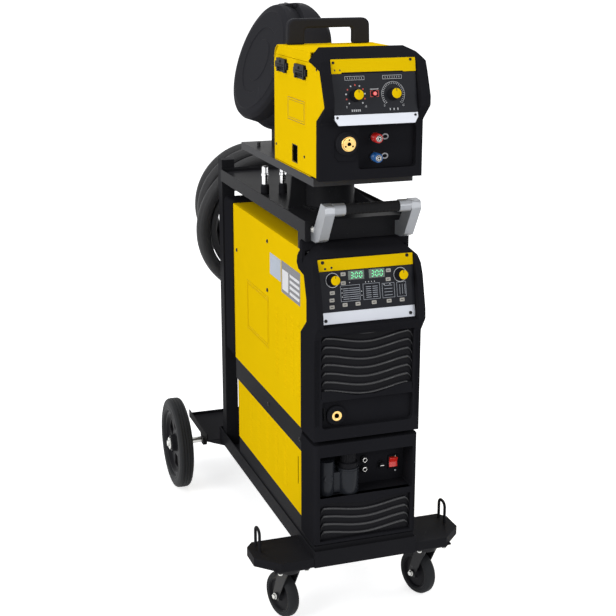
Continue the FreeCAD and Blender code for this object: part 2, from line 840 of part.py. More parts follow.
def make_swivel_base():
    """The pedestal that the feeder turns on: drum, flange, plates and pin."""
    body = new_body("swivel_base", y=swivel_y)
    floor = deck_web + plate
    top = feed_tray_low - 13
    slab(body, "XY", [(0, 0, pedestal_radius)], floor, top)
    slab(body, "XY", [(0, 0, pedestal_radius + 9)], floor, floor + 6)
    slab(body, "XY", [(0, 0, spindle_radius - fit)], top, top + 26)
    left = [(-116, floor), (-20, floor), (-20, top - 4), (-108, top - 4, 8)]
    right = [(20, floor), (122, floor), (68, floor + 40), (20, floor + 40)]
    slab(body, "XZ", [left, right], -4, 4)
    screws = [(58, 58, 5), (-58, 58, 5), (58, -58, 5), (-58, -58, 5)]
    foot = rect(-72, 72, -72, 72, 12)
    slab(body, "XY", [foot], floor, floor + 4)
    slab(body, "XY", screws, floor + 4, floor + 8)
    return node("swivel_base", body)


# Frames that lean with the two control faces: local X to the right, Y up the face, Z out of it

def face_angle(top_y, top_z, low_y, low_z):
    """How far a face's own frame is turned about X, in degrees."""
    value = 90 - math.degrees(math.atan((top_y - low_y).value / (top_z - low_z).value))
    return Size(value, "(90 deg - atan((%s) / (%s)))" % ((top_y - low_y).text, (top_z - low_z).text))


def up_face(z, top_y, top_z, low_y, low_z):
    """The distance along a leaning face from its top edge up to height z."""
    rise = (top_z - low_z).text
    lean = (top_y - low_y).text
    factor = math.hypot((top_z - low_z).value, (top_y - low_y).value) / (top_z - low_z).value
    stretch = Size(factor, "(sqrt((%s) * (%s) + (%s) * (%s)) / (%s))" % (rise, rise, lean, lean, rise))
    return (z - top_z) * stretch


POWER = (face_top_y, face_top_z, face_low_y, face_low_z)
FEEDER = (feed_face_top_y, feed_face_top_z, feed_face_low_y, feed_face_low_z)


def leaning_body(name, face, x=0, z=None):
    """A body whose XY plane lies on the control face, with its origin at x and height z."""
    angle = face_angle(*face)
    high = face[1] if z is None else z
    body = new_body(name, x=x, y=lean_y(high, *face), z=high, turn=Rotation(Vector(1, 0, 0), angle.value))
    body.setExpression("Placement.Rotation.Angle", angle.text)
    return body


def make_knob(label, face, x, z, lift):
    """A fluted knob with its spindle, turning on the control face."""
    body = leaning_body("knob_" + label, face, x, z)
    high = lift + knob_high
    profile = [
        (0, -14),
        (3, -14),
        (3, lift + 0.4),
        (knob_radius, lift + 0.4),
        (knob_radius, lift + 5, 1.5),
        (knob_radius - 2, lift + 7, 1),
        (knob_radius - 3, high, 1.5),
        (0, high),
    ]
    turned(body, profile, "V_Axis")
    flute = carve(body, "XY", [(knob_radius - 0.6, 0, 1.7)], lift + 8, high)
    around(body, flute, "Z_Axis", 16)
    return node(label, body)


# Power source

def side_front(top):
    """The front edge of the power source's side sheets, from the top edge down."""
    return [
        (10, top),
        (26, 991),
        (31, 973),
        (19, 958.5),
        (-25, 951),
        (-46, 891),
        (-46, 833),
        (0, 794),
        (0, power_low),
    ]


def make_power_cover():
    """The folded yellow cover of the power source, with its pressed louvres and sloping front edge."""
    body = new_body("power_cover")
    side = side_front(power_high) + [(power_deep, power_low), (power_deep, power_high)]
    slab(body, "YZ", [side], -case_half, case_half)
    inner = rect(-case_half + skin, case_half - skin, power_low, power_high - skin)
    carve(body, "XZ", [inner], -60, power_deep)
    for first, last, low, high in ((20, 96, 584, 802), (130, 230, 589, 796)):
        slots = [rect(first, first + 24, low, low + 3), rect(last - 24, last, low, low + 3)]
        cut = carve(body, "YZ", slots, -case_half, case_half)
        repeat(body, cut, "Z_Axis", high - low, 16)
    return node("power_cover", body)


def make_base_pans():
    """The two plinths: the cooler's pan in the tray, and the power source's on the cooler."""
    pan = new_body("cooler_pan")
    side = [(-100, tray_low + plate), (pan_deep, tray_low + plate), (pan_deep, cooler_low),
            (0, cooler_low), (0, cooler_front_low - 4), (-100, cooler_front_low - 4)]
    slab(pan, "YZ", [side], -pan_half, pan_half)
    inner = rect(-pan_half + skin, pan_half - skin, skin, pan_deep - skin)
    carve(pan, "XY", [inner], tray_low + plate + skin, cooler_low)
    front = rect(-pan_half + skin, pan_half - skin, -98, skin)
    carve(pan, "XY", [front], tray_low + plate + skin, cooler_front_low)
    base = new_body("power_base")
    slab(base, "XY", [rect(-case_half, case_half, 0, power_deep - 4)], cooler_high, power_low)
    well = rect(-case_half + skin, case_half - skin, skin, power_deep - 4 - skin)
    carve(base, "XY", [well], cooler_high + plate, power_low)
    return node("base_pans", group("pans", [pan, base]))


def make_power_fascia():
    """The moulded front of the power source: cheeks, hood, leaning control face and lower recess."""
    body = new_body("power_fascia")
    front = [
        (33, 524),
        (front_y, 524),
        (front_y, 800, 12),
        (-131, 838, 10),
        (-129, 864, 10),
        (-107, 948),
        (-86, 992, 20),
        (-66, 1020, 20),
        (-34, 1034, 20),
        (6, 1037, 4),
        (6, 1008.5),
        (33, 991),
    ]
    slab(body, "YZ", [front], -front_half, front_half)
    hollow = [(34, 523), (-84, 523), (-84, 812), (-98, 838), (-76, 946), (-14, 951), (-14, 1011), (34, 1011)]
    carve(body, "YZ", [hollow], -case_half + 4, case_half - 4)
    behind = [(9, 1012)] + side_front(1009) + [(0, 523), (34, 523), (34, 1012)]
    for low, high in ((-front_half - 1, -case_half + 4), (case_half - 4, front_half + 1)):
        carve(body, "YZ", [behind], low, high)
    top_y, low_y = power_face(1004), power_face(face_low_z - 2)
    panel = [(top_y, 1004), (low_y, face_low_z - 2), (-140, face_low_z - 2), (-140, 1004)]
    carve(body, "YZ", [panel], -face_half, face_half)
    carve(body, "XZ", [rect(-recess_half, recess_half, grille_low, grille_high, 1)], -110, recess_y)
    carve(body, "XZ", [rect(-124, 129, 556, grille_low - 7, 10)], -110, -88)
    corner = [(-150, 1040), (-90, 1040), (-122, 1014), (-141, 996), (front_half * -1, 976), (-150, 976)]
    carve(body, "XZ", [corner], -140, -12)
    carve(body, "XZ", [[(-x, z) for x, z in corner]], -140, -12)
    carve(body, "XZ", [(socket_x, socket_z, 15)], -110, -80)
    spindles = [(power_knob_x * sign, power_knob_z, 6) for sign in (-1, 1)]
    carve(body, "XZ", spindles, -130, -60)
    return node("power_fascia", body)


def make_power_panel():
    """The control panel between the two strips, with its two display windows."""
    body = leaning_body("power_panel", POWER)
    low = up_face(870.5, *POWER)
    high = up_face(970, *POWER)
    slab(body, "XY", [rect(-face_half + 1, face_half - 1, low, high, 3)], 0, 1.5)
    window_low, window_high = up_face(945, *POWER), up_face(968, *POWER)
    for left, right in ((-50, -6), (6, 50)):
        carve(body, "XY", [rect(left, right, window_low, window_high, 1)], 0.5, 1.5)
    knob_v = up_face(power_knob_z, *POWER)
    carve(body, "XY", [(power_knob_x * sign, knob_v, 3 + fit) for sign in (-1, 1)], 0, 1.5)
    return node("power_panel", body)


def make_power_strips():
    """The yellow header strip and the metal name strip, both bare."""
    header = leaning_body("header_strip", POWER)
    low, high = up_face(971, *POWER), up_face(1000.5, *POWER)
    slab(header, "XY", [rect(-face_half + 1, face_half - 1, low, high, 2)], 0, 2)
    bolts = [(x, (low + high) / 2, 2.6) for x in (-115, 115)]
    carve(header, "XY", bolts, 1, 2)
    name = leaning_body("name_strip", POWER)
    low, high = up_face(840, *POWER), up_face(869.5, *POWER)
    slab(name, "XY", [rect(-recess_half, recess_half, low, high, 2)], 0, 1.5)
    return node("power_strips", group("power_trims", [header, name]))


def wavy_plate(name, half, low, high, top, count, pitch, dip):
    """A grille: a back plate with a column of louvres that sag in the middle in two matched arcs."""
    body = new_body(name)
    slab(body, "XZ", [rect(-half, half, low, high, 1)], recess_y - 3, recess_y)
    quarter = half / 4
    bend = half * 1.5
    edge = [
        (-half, top),
        (-quarter * 3, top, bend),
        (-quarter, top - dip, bend),
        (quarter, top - dip, bend),
        (quarter * 3, top, bend),
        (half, top),
        (half, top - louvre_thick),
        (quarter * 3, top - louvre_thick, bend),
        (quarter, top - dip - louvre_thick, bend),
        (-quarter, top - dip - louvre_thick, bend),
        (-quarter * 3, top - louvre_thick, bend),
        (-half, top - louvre_thick),
    ]
    blade = slab(body, "XZ", [edge], recess_y - 12, recess_y - 3)
    repeat(body, blade, "Z_Axis", pitch * (count - 1), count, reverse=True)
    return body


def make_grilles():
    """The wavy front grilles of the power source and the cooler."""
    upper = wavy_plate("power_grille", recess_half - 0.5, grille_low + 0.5, grille_high - 0.5,
                       grille_high - 2, 7, louvre_pitch, louvre_dip)
    lower = wavy_plate("cooler_grille", 128, cooler_front_low + 9, bay_low - 18,
                       bay_low - 20, 4, louvre_pitch - 1, 14)
    return node("louvre_grilles", group("grilles", [upper, lower]))


def make_weld_socket():
    """The brass current socket in its insulating collar."""
    body = new_body("weld_socket", x=socket_x, y=-88, z=socket_z)
    profile = [
        (2, 0),
        (6, 0),
        (6, 14.5),
        (0, 14.5),
        (0, 26),
        (-8, 26, 2),
        (-8, 17, 1),
        (-12, 15),
        (-12, 6.5),
        (2, 6.5),
    ]
    turned_y(body, profile)
    return node("weld_socket", body)


def turned_y(body, corners):
    """A solid of revolution about the body's Y axis: corners are (y, radius)."""
    sketch = new_sketch(body, "YZ", 0)
    outline(sketch, corners)
    feature = body.newObject("PartDesign::Revolution", "Revolution")
    feature.Profile = sketch
    feature.ReferenceAxis = (sketch, ["H_Axis"])
    feature.Angle = 360
    doc.recompute()
    return feature


def make_power_module():
    """The inverter inside: heat sink with its fins, on the plinth."""
    body = new_body("power_module")
    slab(body, "XY", [rect(-100, 100, 60, 520)], cooler_high + plate, power_low + 60)
    fin = slab(body, "XY", [rect(-100, -94, 60, 520)], power_low + 60, 860)
    repeat(body, fin, "X_Axis", 194, 11)
    slab(body, "XY", [rect(-100, 100, 60, 66)], power_low + 60, 860)
    return node("power_module", body)


def make_rear_panels():
    """The moulded rear of the power source with its fan opening, and the cooler's rear panel."""
    rear = new_body("power_rear", y=power_deep)
    deep = rear_deep
    slab(rear, "XZ", [rect(-front_half, front_half, 524, 1014, 12)], 0.01, deep)
    slab(rear, "XZ", [rect(-case_half + 2.2, case_half - 2.2, 526, 1006, 4)], -8, 0.01)
    carve(rear, "XZ", [rect(-case_half + 6, case_half - 6, 530, 1002, 6)], -8, 10)
    carve(rear, "XZ", [rect(-front_half + 5, front_half - 5, 529, 1008, 8)], 14, deep)
    ring_cut = carve(rear, "XZ", [[(-104, 690), (104, 690), (104, 694), (-104, 694)]], 10, 14)
    repeat(rear, ring_cut, "Z_Axis", 180, 16)
    carve(rear, "XZ", [(hose_x, hose_z, 20)], 10, 14)
    slab(rear, "XZ", [(0, 785, 7 - fit)], -30, 10)
    cooler = new_body("cooler_rear")
    slab(cooler, "XZ", [rect(-case_half, case_half, cooler_low, cooler_high)], pan_deep, pan_deep + 3)
    slot = carve(cooler, "XZ", [rect(-80, 80, 300, 306, 2)], pan_deep, pan_deep + 3)
    repeat(cooler, slot, "Z_Axis", 120, 9)
    return node("rear_panels", group("rears", [rear, cooler]))


def make_cooling_fan():
    """The fan rotor behind the power source's rear louvres."""
    body = new_body("cooling_fan", y=power_deep, z=785)
    profile = [(-26, 7), (2, 7), (2, 30, 4), (-26, 30, 4)]
    turned_y(body, profile)
    blade = slab(body, "XY", [[(-4, -24), (4, -24), (10, 0), (2, 0)]], 28, 84)
    around(body, blade, "Y_Axis", 7)
    return node("cooling_fan", body)


# Cooler

def make_cooler_cover():
    """The folded yellow cover of the cooler, with its window and louvres."""
    body = new_body("cooler_cover")
    slab(body, "XZ", [rect(-case_half, case_half, cooler_low, cooler_high)], 0, cooler_deep)
    inner = rect(-case_half + skin, case_half - skin, cooler_low, cooler_high - skin)
    carve(body, "XZ", [inner], 0, cooler_deep)
    carve(body, "YZ", [rect(31, 38, 350, 432, 3)], -case_half, case_half)
    slots = [rect(first, first + 30, 300, 303) for first in (130, 214, 298, 382, 466)]
    cut = carve(body, "YZ", slots, -case_half, case_half)
    repeat(body, cut, "Z_Axis", 135, 10)
    return node("cooler_cover", body)


def make_cooler_fascia():
    """The moulded front of the cooler: filler bay above, louvred intake below."""
    body = new_body("cooler_fascia")
    low, high = cooler_front_low, cooler_front_high
    edge = [(-tray_half, -0.4), (-tray_half, front_y, 12), (tray_half, front_y, 12), (tray_half, -0.4)]
    slab(body, "XY", [edge], low, high)
    inner = [(-142, 0), (-142, -82), (142, -82), (142, 0)]
    carve(body, "XY", [inner], low + 4, bay_low - 12)
    carve(body, "XY", [[(-142, 0), (-142, -36), (142, -36), (142, 0)]], bay_low - 12, high - 4)
    carve(body, "XZ", [rect(-129, 133, bay_low, bay_high + 12, 3)], -110, bay_floor)
    carve(body, "XZ", [rect(-128.5, 128.5, low + 8, bay_low - 17, 0.5)], -110, recess_y)
    carve(body, "XZ", [rect(-104, -36, 376, 436, 4)], bay_floor, -30)
    carve(body, "XZ", [rect(switch_x - 12, switch_x + 12, switch_z - 17, switch_z + 17, 1)], -41, -30)
    bezel = rect(switch_x - 15, switch_x + 15, switch_z - 20, switch_z + 20, 2)
    hole = rect(switch_x - 12, switch_x + 12, switch_z - 17, switch_z + 17, 1)
    slab(body, "XZ", [bezel, hole], bay_floor - 4, bay_floor)
    return node("cooler_fascia", body)


def make_cooler_tank():
    """The coolant tank: its lobe and filler neck stand in the bay, the rest is behind."""
    body = new_body("cooler_tank")
    slab(body, "XY", [(-101, neck_y, 22)], bay_low, bay_high - 10)
    slab(body, "XY", [(neck_x, neck_y, neck_radius)], bay_low, cap_low - 4)
    slab(body, "XY", [rect(-102, neck_x, neck_y - 12, neck_y + 16)], bay_low + 4, bay_low + 60)
    slab(body, "XY", [(neck_x, neck_y, 17)], cap_low - 4, cap_high - 8)
    slab(body, "XY", [rect(-100, -40, neck_y + 10, -20)], 380, 432)
    slab(body, "XY", [rect(-120, 20, -20, 150, 10)], 290, 440)
    carve(body, "XY", [(neck_x, neck_y, 14)], cap_low - 30, cap_high - 8)
    return node("cooler_tank", body)


def make_filler_cap():
    """The screw cap on the tank's neck: a wide skirt under a fluted grip."""
    body = new_body("filler_cap", x=neck_x, y=neck_y)
    low = cap_low - 4 + gap
    profile = [
        (0, cap_high - 8 + gap),
        (17 + gap, cap_high - 8 + gap),
        (17 + gap, low),
        (cap_radius + 6, low),
        (cap_radius + 6, cap_low + 11, 2),
        (cap_radius, cap_low + 11),
        (cap_radius, cap_high - 3, 3),
        (0, cap_high - 3),
    ]
    turned(body, profile, "V_Axis")
    flute = carve(body, "XY", [(cap_radius + 0.6, 0, 2.2)], cap_low + 11, cap_high - 3)
    around(body, flute, "Z_Axis", 20)
    return node("filler_cap", body)


def make_cooler_fittings():
    """Two coolant sockets and a fuse holder on the bay's floor."""
    pieces = []
    for name, x, z, radius in (("port_top", 16, 433, 9), ("port_low", 16, 406, 9), ("fuse", 66, 411, 8)):
        body = new_body(name, x=x, y=bay_floor, z=z)
        profile = [(0, 0), (0, radius), (-6, radius, 1), (-6, radius - 2), (-16, radius - 2, 1),
                   (-16, 0)]
        turned_y(body, profile)
        pieces.append(body)
    return node("cooler_fittings", group("fittings", pieces))


def make_rocker_switch():
    """The rocker of the mains switch, tipped one way."""
    body = new_body("rocker_switch", x=switch_x, y=bay_floor - 1, z=switch_z)
    side = [(5, -12), (-5, -14, 1), (-2.5, 0), (-9, 14, 1), (5, 12)]
    slab(body, "YZ", [side], -11.5, 11.5)
    return node("rocker_switch", body)


def make_cooler_insides():
    """The radiator and the pump behind the cooler's rear panel."""
    radiator = new_body("radiator")
    near, far = pan_deep - 87, pan_deep - 57
    slab(radiator, "XY", [rect(-115, 115, near, far)], cooler_low + 4, cooler_low + 24)
    fin = slab(radiator, "XY", [rect(-115, -112, near, far)], cooler_low + 24, cooler_low + 150)
    repeat(radiator, fin, "X_Axis", 227, 20)
    slab(radiator, "XY", [rect(-115, 115, near, far)], cooler_low + 150, cooler_low + 170)
    slab(radiator, "XY", [rect(-60, 60, near + 6, far - 6)], tray_low + plate + skin, cooler_low + 4)
    node("cooler_radiator", radiator)
    pump = new_body("pump", y=330, z=300)
    profile = [(-90, 0), (120, 0), (120, 44, 6), (-30, 44, 4), (-30, 30), (-40, 30), (-40, 52, 4),
               (-90, 52, 6)]
    turned_y(pump, profile)
    slab(pump, "XY", [rect(-40, 40, -20, 100)], tray_low + plate + skin - 300, -20)
    return node("cooler_pump", pump)


# Wire feeder, which turns on the pedestal

def make_feeder_tray():
    """The turntable and the folded tray that carries the feeder and the spool case."""
    body = new_body("feeder_tray")
    top = feed_low - 1
    outer = rect(-feed_tray_half, feed_tray_half, feed_tray_front, feed_tray_back)
    slab(body, "XY", [outer], feed_tray_low, top)
    inner = rect(-feed_tray_half + plate, feed_tray_half - plate,
                 feed_tray_front + plate, feed_tray_back - plate)
    carve(body, "XY", [inner], feed_tray_low, top - plate)
    slab(body, "XY", [(0, swivel_y, pedestal_radius + 8)], feed_tray_low - 12.6, top - plate)
    carve(body, "XY", [(0, swivel_y, spindle_radius)], feed_tray_low - 12.6, feed_tray_low + 14)
    slab(body, "XY", [(-108, 487, 5)], top, top + 12)
    return node("feeder_tray", body)


def make_feeder_case():
    """The feeder's body: floor, roof, right side, rear wall and the mounting wall inside."""
    body = new_body("feeder_case")
    low, high = feed_low - 1, feed_high
    shell = [(-29, low), (feed_back, low), (feed_back, high, 36), (-29, high)]
    slab(body, "YZ", [shell], -feed_half, feed_half)
    inner = [(-30, low + skin), (feed_back - skin, low + skin), (feed_back - skin, high - skin, 34),
             (-30, high - skin)]
    carve(body, "YZ", [inner], -feed_half, feed_half)
    right = feeder_side(low + skin, high - skin)
    slab(body, "YZ", [right], feed_half - skin, feed_half)
    floor = rect(-feed_half + 6.5, feed_half - 6.5, -83.5, -29)
    slab(body, "XY", [floor], low, low + skin)
    lintel = [(-29, door_high + 1), (-29, high - skin), (feed_back - 37, high - skin),
              (feed_back - 12, door_high + 1)]
    slab(body, "YZ", [lintel], -feed_half, -feed_half + skin)
    slab(body, "XY", [rect(20, 24, -29, feed_back - skin)], low + skin, high - skin)
    return node("feeder_case", body)


def feeder_side(low, high):
    """The edge of the feeder's side sheets."""
    return [
        (-86, low),
        (-86, 1349),
        (-144, 1388),
        (-109, 1467),
        (-29.7, 1484),
        (-29, high),
        (feed_back - 37, high),
        (feed_back - 1, 1470),
        (feed_back - 1, low),
    ]


def make_feeder_door():
    """The left side of the feeder, hinged along its bottom edge."""
    body = new_body("feeder_door")
    edge = [
        (-86, door_low),
        (-86, 1349),
        (-144, 1388),
        (-109, 1467),
        (-32, door_high),
        (feed_back - 15, door_high),
        (feed_back - skin - gap, 1467),
        (feed_back - skin - gap, door_low),
    ]
    slab(body, "YZ", [edge], -feed_half, -feed_half + skin)
    frame = rect(7, 150, 1322, 1388)
    slab(body, "YZ", [frame], -feed_half - 0.8, -feed_half)
    carve(body, "YZ", [rect(70, 110, 1222, 1265, 3)], -feed_half, -feed_half + skin)
    slab(body, "YZ", [rect(66, 114, 1218, 1269, 3)], -feed_half + skin, -feed_half + skin + 1)
    return node("feeder_door", body)


def make_door_latches():
    """Two paddle latches on the door, each hinged along its top edge."""
    for label, first, last, low in (("front", 2, 76, 1438), ("rear", 152, 222, 1441)):
        body = new_body("latch_" + label)
        face = -feed_half - 0.3
        slab(body, "YZ", [rect(first, last, low, low + 35, 4)], face - 7, face)
        carve(body, "YZ", [rect(first + 10, last - 10, low - 1, low + 12, 2)], face - 7, face - 3)
        node("door_latch_" + label, body)


def make_feeder_fascia():
    """The moulded front of the feeder."""
    body = new_body("feeder_fascia")
    low = feed_low
    front = [
        (-31, low),
        (feed_front_y, low),
        (feed_front_y, 1344, 8),
        (-151, 1384, 6),
        (-151, 1406, 8),
        (-128, 1463),
        (-114, 1492, 12),
        (-90, 1509, 12),
        (-31, 1519),
    ]
    slab(body, "YZ", [front], -feed_front_half, feed_front_half)
    hollow = [(-30, low - 1), (-84, low - 1), (-84, 1346), (-118, 1388), (-108, 1440), (-90, 1484),
              (-30, 1500)]
    carve(body, "YZ", [hollow], -feed_half + 6, feed_half - 6)
    behind = [(-30, low - 1), (-88, low - 1), (-88, 1348), (-146, 1387), (-110, 1469), (-31, 1486),
              (-30, 1486)]
    for left, right in ((-feed_front_half - 1, -feed_half + 4), (feed_half - 4, feed_front_half + 1)):
        carve(body, "YZ", [behind], left, right)
    top_y, low_y = feeder_face(1499), feeder_face(feed_face_low_z - 1)
    panel = [(top_y, 1499), (low_y, feed_face_low_z - 1), (-160, feed_face_low_z - 1), (-160, 1499)]
    carve(body, "YZ", [panel], -feed_face_half - 3, feed_face_half + 3)
    carve(body, "XZ", [rect(-33, 119, 1229, 1334, 8)], -120, -92)
    corner = [(-140, 1522), (-108, 1522), (-124, 1504), (-137, 1486), (-140, 1486)]
    carve(body, "XZ", [corner], -160, -28)
    carve(body, "XZ", [[(-x, z) for x, z in corner]], -160, -28)
    carve(body, "XZ", [(euro_x, euro_z, 19)], -120, -80)
    carve(body, "XZ", [(coupler_x, red_z, 6), (coupler_x, blue_z, 6)], -95, -80)
    holes = [(feed_knob_left, feed_knob_z, 6), (feed_knob_right, feed_knob_z, 6), (-2, 1414, 9.5)]
    carve(body, "XZ", holes, -160, -100)
    return node("feeder_fascia", body)


def make_feeder_strips():
    """The feeder's yellow header strip and metal name strip, both bare, and the plate between them."""
    header = leaning_body("feeder_header", FEEDER)
    low, high = up_face(1465, *FEEDER), up_face(1496, *FEEDER)
    slab(header, "XY", [rect(-feed_face_half, feed_face_half, low, high, 2)], 0, 2)
    carve(header, "XY", [(x, (low + high) / 2, 2.6) for x in (-98, 98)], 1, 2)
    name = leaning_body("feeder_name", FEEDER)
    low, high = up_face(1342, *FEEDER), up_face(1367, *FEEDER)
    slab(name, "XY", [rect(-feed_face_half, feed_face_half, low, high, 2)], 0, 1.5)
    panel = leaning_body("feeder_panel", FEEDER)
    low, high = up_face(1368, *FEEDER), up_face(1464, *FEEDER)
    slab(panel, "XY", [rect(-feed_face_half, feed_face_half, low, high, 2)], 0, 1.5)
    knob_v = up_face(feed_knob_z, *FEEDER)
    holes = [(feed_knob_left, knob_v, 3 + fit), (feed_knob_right, knob_v, 3 + fit)]
    carve(panel, "XY", holes + [(-2, up_face(1414, *FEEDER), 5.4)], 0, 1.5)
    return node("feeder_strips", group("feeder_trims", [header, name, panel]))


def make_feeder_button():
    """The sprung button between the two knobs."""
    body = leaning_body("button", FEEDER, -2, Size(1414, "1414"))
    profile = [(0, -7), (6.4, -7), (6.4, -3), (5, -3), (5, 6, 1), (0, 6)]
    turned(body, profile, "V_Axis")
    return node("feeder_button", body)


def make_euro_socket():
    """The torch socket: flange, brass nose and its central bore."""
    body = new_body("euro_socket", x=euro_x, y=feed_front_y, z=euro_z)
    profile = [
        (24, 5),
        (24, 16),
        (0, 16),
        (0, 29, 2),
        (-9, 29, 2),
        (-9, 24),
        (-16, 22, 2),
        (-16, 18, 1),
        (-6, 18),
        (-6, 15.5),
        (-20, 15.5, 1),
        (-20, 5),
    ]
    turned_y(body, profile)
    carve(body, "XZ", [(0, 10.5, 1.6), (-6, -9, 1.6), (6, -9, 1.6)], -21, -10)
    return node("euro_socket", body)


def make_couplers():
    """Two coolant couplers: fixed nipples with sliding sleeves."""
    nipples = []
    for label, z in (("red", red_z), ("blue", blue_z)):
        body = new_body("nipple_" + label, x=coupler_x, y=-92, z=z)
        profile = [(8, 3), (8, 5.5), (0, 5.5), (0, 11), (-12, 11), (-12, 7.5), (-44, 7.5, 1),
                   (-44, 3)]
        turned_y(body, profile)
        nipples.append(body)
        sleeve = new_body("sleeve_" + label, x=coupler_x, y=-92, z=z)
        ribbed = [(-16, 7.5 + fit), (-16, 11.5, 1), (-24, 11.5, 1), (-26, 10), (-30, 10), (-32, 11.5, 1),
                  (-41, 11.5, 1), (-41, 7.5 + fit)]
        turned_y(sleeve, ribbed)
        node("coupler_" + label, sleeve)
    return node("coupler_nipples", group("nipples", nipples))


def make_feeder_handle():
    """The moulded carrying handle across the feeder's roof."""
    body = new_body("feeder_handle")
    edge = [
        (-handle_half - 3, feed_high),
        (-handle_half, handle_high, 14),
        (handle_half, handle_high, 14),
        (handle_half + 3, feed_high),
        (handle_half - 44, feed_high),
        (handle_half - 42, handle_high - 24, 10),
        (-handle_half + 42, handle_high - 24, 10),
        (-handle_half + 44, feed_high),
    ]
    slab(body, "XZ", [edge], handle_y - 17, handle_y + 7)
    return node("feeder_handle", body)


# Spool case, in a frame whose X axis runs along the spindle from the lid's face into the case

def spool_body(name, along=0, across=0, high=0):
    """A body in the spool's leaning frame."""
    turn = Rotation(number(drum_turn), number(drum_tilt), 0)
    body = new_body(name, turn=turn)
    shift = turn.multVec(Vector(number(along), number(across), number(high)))
    place = "placement(vector(%s + %r; %s + %r; %s + %r); rotation(%s; %s; 0))" % (
        drum_x.text, shift.x, (drum_y - centre_y).text, shift.y, drum_z.text, shift.z,
        drum_turn.text, drum_tilt.text)
    for prop in ("Placement.Base.x", "Placement.Base.y", "Placement.Base.z"):
        body.setExpression(prop, None)
    body.setExpression("Placement", place)
    doc.recompute()
    return body


def make_spool_lid():
    """The dished lid with its pressed rings and its hinge arm."""
    body = spool_body("spool_lid")
    edge = drum_radius
    profile = [
        (0, 0),
        (0, 58),
        (2, 60),
        (2, 92),
        (0, 94),
        (0, edge - 26),
        (2, edge - 24),
        (5, edge - 6, 6),
        (16, edge, 6),
        (lid_deep, edge),
        (lid_deep, edge - 3),
        (16, edge - 3, 4),
        (8, edge - 9, 4),
        (5, edge - 26),
        (3, edge - 28),
        (3, 94),
        (5, 92),
        (5, 60),
        (3, 58),
        (3, 0),
    ]
    turned(body, profile)
    arm = [(18, edge - 2), (lid_deep - 1, edge - 2), (lid_deep, edge + 1), (lid_deep, edge + 9),
           (lid_deep - 10, edge + 9), (18, edge + 1)]
    slab(body, "XZ", [arm], -22, 22)
    slab(body, "XZ", [(lid_deep, edge + 7, 5)], -22, 22)
    carve(body, "XZ", [(lid_deep, edge + 7, 2 + fit)], -22, 22)
    return node("spool_lid", body)


def make_spool_case():
    """The fixed half of the spool case: drum, upright housing, spindle, hinge ears and foot."""
    drum = spool_body("case_drum")
    start = lid_deep + gap
    slab(drum, "YZ", [(0, 0, drum_radius)], start, drum_deep)
    ears = [(start + 0.8, drum_radius - 3), (start + 30, drum_radius - 3), (start + 4, drum_radius + 12),
            (lid_deep - 4, drum_radius + 12), (lid_deep - 4, drum_radius + 3), (start + 0.8, drum_radius + 3)]
    slab(drum, "XZ", [ears], 22.4, 42)
    slab(drum, "XZ", [ears], -42, -22.4)
    slab(drum, "XZ", [(lid_deep, drum_radius + 7, 2)], -42, 42)
    turn = Rotation(Vector(0, 0, 1), 15.5)
    upright = new_body("case_upright", x=Size(-90, "-90"), y=Size(434, "434"), z=Size(1430, "1430"), turn=turn)
    slab(upright, "YZ", [(0, 0, 172)], 0, 100)
    foot = new_body("case_foot")
    slab(foot, "XY", [rect(-70, 20, 400, 490, 6)], feed_low - 1, 1300)
    away = spool_body("lid_space")
    slab(away, "YZ", [(0, 0, 260)], -80, start)
    swing = rect(start - 8, start + 8, drum_radius + 0.6, drum_radius + 60)
    slab(away, "XZ", [swing], -22.4, 22.4)
    hollow = spool_body("case_hollow")
    slab(hollow, "YZ", [(0, 0, drum_radius - 3)], start - 1, drum_deep - 4)
    outer = join("case_outer", [upright, foot])
    trimmed = take_away("case_trimmed", outer, away)
    solid = join("case_solid", [trimmed, drum])
    open_case = take_away("case_open", solid, hollow)
    spindle = spool_body("case_spindle")
    slab(spindle, "YZ", [(0, 0, hub_radius + 1 - fit)], 30, drum_deep - 2)
    return node("spool_case", join("spool_case", [open_case, spindle]))


def make_wire_spool():
    """The spool on its spindle, and the wound wire on it."""
    spool = spool_body("spool", along=82)
    half = spool_width / 2
    bore = hub_radius + 1
    profile = [(-half, bore), (half, bore), (half, spool_radius), (half - 4, spool_radius),
               (half - 4, 52), (-half + 4, 52), (-half + 4, spool_radius), (-half, spool_radius)]
    turned(spool, profile)
    node("wire_spool", spool)
    wire = spool_body("wire", along=82)
    turned(wire, rect(-half + 4, half - 4, 52, spool_radius - 14))
    return node("wire_coil", wire)


def make_wire_drive():
    """The drive inside the feeder: motor, roll plate and rolls, and the hinged pressure arm."""
    base = new_body("drive_base")
    slab(base, "YZ", [rect(20, 170, 1250, 1345, 6)], 8, 20)
    slab(base, "YZ", [(34, 1328, 4 - fit)], -20, 8)
    slab(base, "YZ", [(34, 1328, 7)], -22, -16.4)
    motor = rod("drive_motor", "X", Size(24, "24"), Size(95, "95"), Size(1290, "1290"), 36, 70)
    lower = [rod("drive_roll_%d" % y, "X", Size(-14, "-14"), Size(y, str(y)), Size(1278, "1278"), 17, 22)
             for y in (55, 135)]
    node("wire_drive", group("drive", [base, motor] + lower))
    arm = new_body("arm")
    bar = [(26, 1316), (150, 1316), (160, 1330, 4), (150, 1340), (40, 1340), (22, 1334, 4)]
    slab(arm, "YZ", [bar], -16, 7.6)
    slab(arm, "YZ", [(55, 1311.4, 16), (135, 1311.4, 16)], -12, 4)
    carve(arm, "YZ", [(34, 1328, 4)], -16, 7.6)
    return node("pressure_arm", arm)


# Hose package, hung behind the columns

